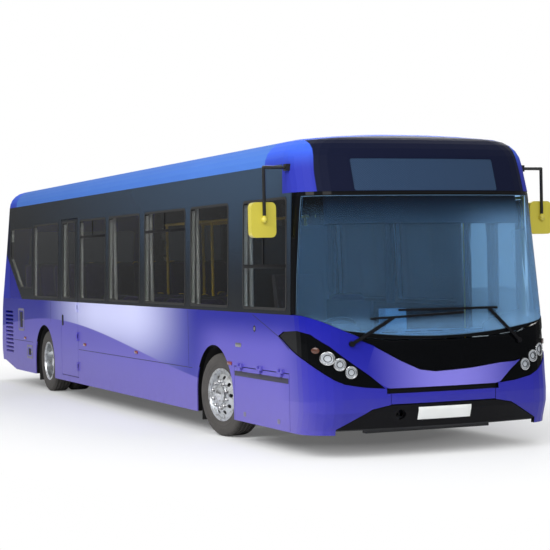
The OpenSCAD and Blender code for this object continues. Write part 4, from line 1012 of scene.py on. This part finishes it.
def windscreen_ledge():
    """Padded ledge under the windscreen with its vents."""
    ledge, vents = Shape(), Shape()
    across = evenly(1.0, 40)
    front = [front_x(y, LEDGE_Z) - LEDGE_GAP for y in across]
    rear = [NEAR_EDGE_X if y > CAB_EDGE_Y else CAB_EDGE_X for y in across]
    rows = [[(a + (b - a) * f, y, z) for a, b, y in zip(front, rear, across)] for f, z in LEDGE]
    rows.append([(a * 0.5 + b * 0.5, y, 1.040) for a, b, y in zip(front, rear, across)])
    start, n = ledge.grid(rows, wrap=True), len(across)
    ledge.faces.append(tuple(start + k * n for k in range(len(rows))))
    ledge.faces.append(tuple(start + k * n + n - 1 for k in reversed(range(len(rows)))))
    ledge.make("windscreen_ledge", "dash")

    def on_ledge(a, b, h):
        return (front_x(a, LEDGE_Z) - LEDGE_GAP - b, a, 1.080 + h)

    for y in evenly(0.88, 8):
        vents.plate(on_ledge, y - 0.07, y + 0.07, 0.055, 0.078, -0.004, 0.0025, 4, 1)
    vents.make("demister_vents", "satin_black")


# Instrument hood: middle across, foot, tilt of its face and dials; its outline from the foot
HOOD_Y, HOOD_Z, DIAL_TILT = -0.660, 1.058, 0.35
HOOD = [(-0.165, 0.0), (-0.150, 0.055), (-0.08, 0.082), (0.08, 0.082), (0.150, 0.055), (0.165, 0.0)]


def cab_details():
    """Instruments, and front and back of the ticket machine."""
    hood, dials, screen, back = Shape(), Shape(), Shape(), Shape()
    line = [(HOOD_Y + a, HOOD_Z + b) for a, b in HOOD]
    hood.slab(line, lambda a, b, h: (5.165 + h - (b - HOOD_Z) * DIAL_TILT, a, b), -0.02, 0.11)
    hood.make("instrument_hood", "dark_panel", bevel=0.008)
    for shift in (-0.075, 0.0, 0.075):
        line = circle(HOOD_Y + shift, 1.095, 0.028)
        dials.slab(line, lambda a, b, h: (5.145 - h - (b - HOOD_Z) * DIAL_TILT, a, b), -0.004, 0.003)
    dials.make("instrument_dials", "pale_panel", bevel=0.001)
    line = round_rect(-0.255, 1.15, -0.075, 1.255, 0.012)
    screen.slab(line, lambda a, b, h: (ax(1740) - h, a, b), -0.002, 0.004)
    screen.make("ticket_screen", "gloss_black", bevel=0.001)
    line = round_rect(-0.268, 1.045, -0.062, 1.268, 0.02)
    back.slab(line, lambda a, b, h: (ax(1880) + h, a, b), -0.004, 0.006)
    back.make("ticket_machine_back", "pale_panel", bevel=0.004)


window_trim()
side_details()
locker_and_escape_trim()
front_lamps()
front_details()
rear_details()
wheels()
seats()
windscreen_ledge()
cab_details()


# Camera, floor and light

# Camera fitted to the photo: picture size, focal length and middle in pixels; place; yaw, pitch and roll
PICTURE, FOCAL, MIDDLE = 550, 1587.807, (275.0, 276.197)
CAMERA_AT, CAMERA_TURN = (18.123, -6.73498, 1.7241), (157.19982, -0.55458, 1.12095)


def camera():
    data = bpy.data.cameras.new("camera")
    cam = bpy.data.objects.new("camera", data)
    scene.collection.objects.link(cam)
    data.sensor_width, data.lens = 36.0, 36.0 * FOCAL / PICTURE
    data.shift_x, data.shift_y = 0.5 - MIDDLE[0] / PICTURE, MIDDLE[1] / PICTURE - 0.5
    yaw, pitch, roll = (math.radians(v) for v in CAMERA_TURN)
    forward = Vector((math.cos(pitch) * math.cos(yaw), math.cos(pitch) * math.sin(yaw), math.sin(pitch)))
    right = forward.cross(Vector((0, 0, 1))).normalized()
    down = forward.cross(right).normalized()
    across = right * math.cos(roll) + down * math.sin(roll)
    under = down * math.cos(roll) - right * math.sin(roll)
    turn = Matrix((across, -under, -forward)).transposed().to_4x4()
    cam.matrix_world = Matrix.Translation(CAMERA_AT) @ turn
    data.clip_end = 500
    scene.camera = cam


# Floor: half size, and half axes of the patch around the bus that keeps its shade
FLOOR_HALF, PATCH_X, PATCH_Y = 60, 9.5, 4.4


def stage():
    """A pale floor that shows the shadow near the bus and fades into the white background away from it."""
    n = Nodes("floor_pale")
    n.set(Base_Color=(0.86, 0.87, 0.88, 1), Roughness=0.9)
    shrink = n.add("ShaderNodeMapping")
    shrink.inputs["Scale"].default_value = (1 / PATCH_X, 1 / PATCH_Y, 1)
    ball = n.add("ShaderNodeTexGradient", gradient_type="SPHERICAL")
    n.link(n.coord, shrink.inputs["Vector"])
    n.link(shrink.outputs[0], ball.inputs["Vector"])
    fade = n.ramp(ball.outputs["Fac"], 0.0, 0.5, 1.0, 0.12)
    shown = n.add("ShaderNodeMixShader")
    n.link(n.product(fade, n.add("ShaderNodeLightPath").outputs["Is Camera Ray"]), shown.inputs["Fac"])
    n.link(n.shader.outputs[0], shown.inputs[1])
    n.link(n.add("ShaderNodeEmission").outputs[0], shown.inputs[2])
    n.link(shown.outputs[0], n.tree.nodes["Material Output"].inputs["Surface"])
    mesh = bpy.data.meshes.new("floor")
    corners = [(x * FLOOR_HALF, y * FLOOR_HALF, 0) for x, y in ((-1, -1), (1, -1), (1, 1), (-1, 1))]
    mesh.from_pydata(corners, [], [(0, 1, 2, 3)])
    mesh.materials.append(n.mat)
    floor = bpy.data.objects.new("floor", mesh)
    scene.collection.objects.link(floor)


def studio():
    """White to the camera and straight through glass. Other rays see it darken towards the horizon."""
    world = bpy.data.worlds.new("studio")
    scene.world = world
    world.use_nodes = True
    t = Tree(world.node_tree)
    back = t.tree.nodes["Background"]
    back.inputs["Color"].default_value = (1, 1, 1, 1)
    path = t.add("ShaderNodeLightPath").outputs
    direct = t.math("LESS_THAN", t.math("ADD", path["Diffuse Depth"], path["Glossy Depth"]), 0.5)
    seen = t.math("MAXIMUM", path["Is Camera Ray"], t.math("MULTIPLY", path["Is Transmission Ray"], direct))
    sky = t.add("ShaderNodeSeparateXYZ")
    t.link(t.add("ShaderNodeTexCoord").outputs["Generated"], sky.inputs[0])
    level = t.ramp(sky.outputs[2], 0.0, 0.6, 0.07, 0.55)
    gloss = t.math("ADD", t.math("MULTIPLY", path["Is Glossy Ray"], 0.82), 1.0)
    t.link(t.math("MAXIMUM", seen, t.math("MULTIPLY", level, gloss)), back.inputs["Strength"])


# Lamps: name, place, power, where it points
LAMP_SIZE = 9
STUDIO_LAMPS = [("key", (9, -15, 12), 2500, (1.0, 0, 1.2)), ("fill", (20, -5, 12), 1450, (4, 0, 1.2)),
                ("back", (-10, 9, 11), 1000, (-2, 0, 1.2))]


def lamps():
    for name, place, power, aim in STUDIO_LAMPS:
        light = bpy.data.lights.new(name, "AREA")
        light.size, light.energy = LAMP_SIZE, power
        ob = bpy.data.objects.new(name, light)
        scene.collection.objects.link(ob)
        ob.location = place
        ob.rotation_euler = (Vector(aim) - Vector(place)).to_track_quat("-Z", "Y").to_euler()


camera()
stage()
studio()
lamps()
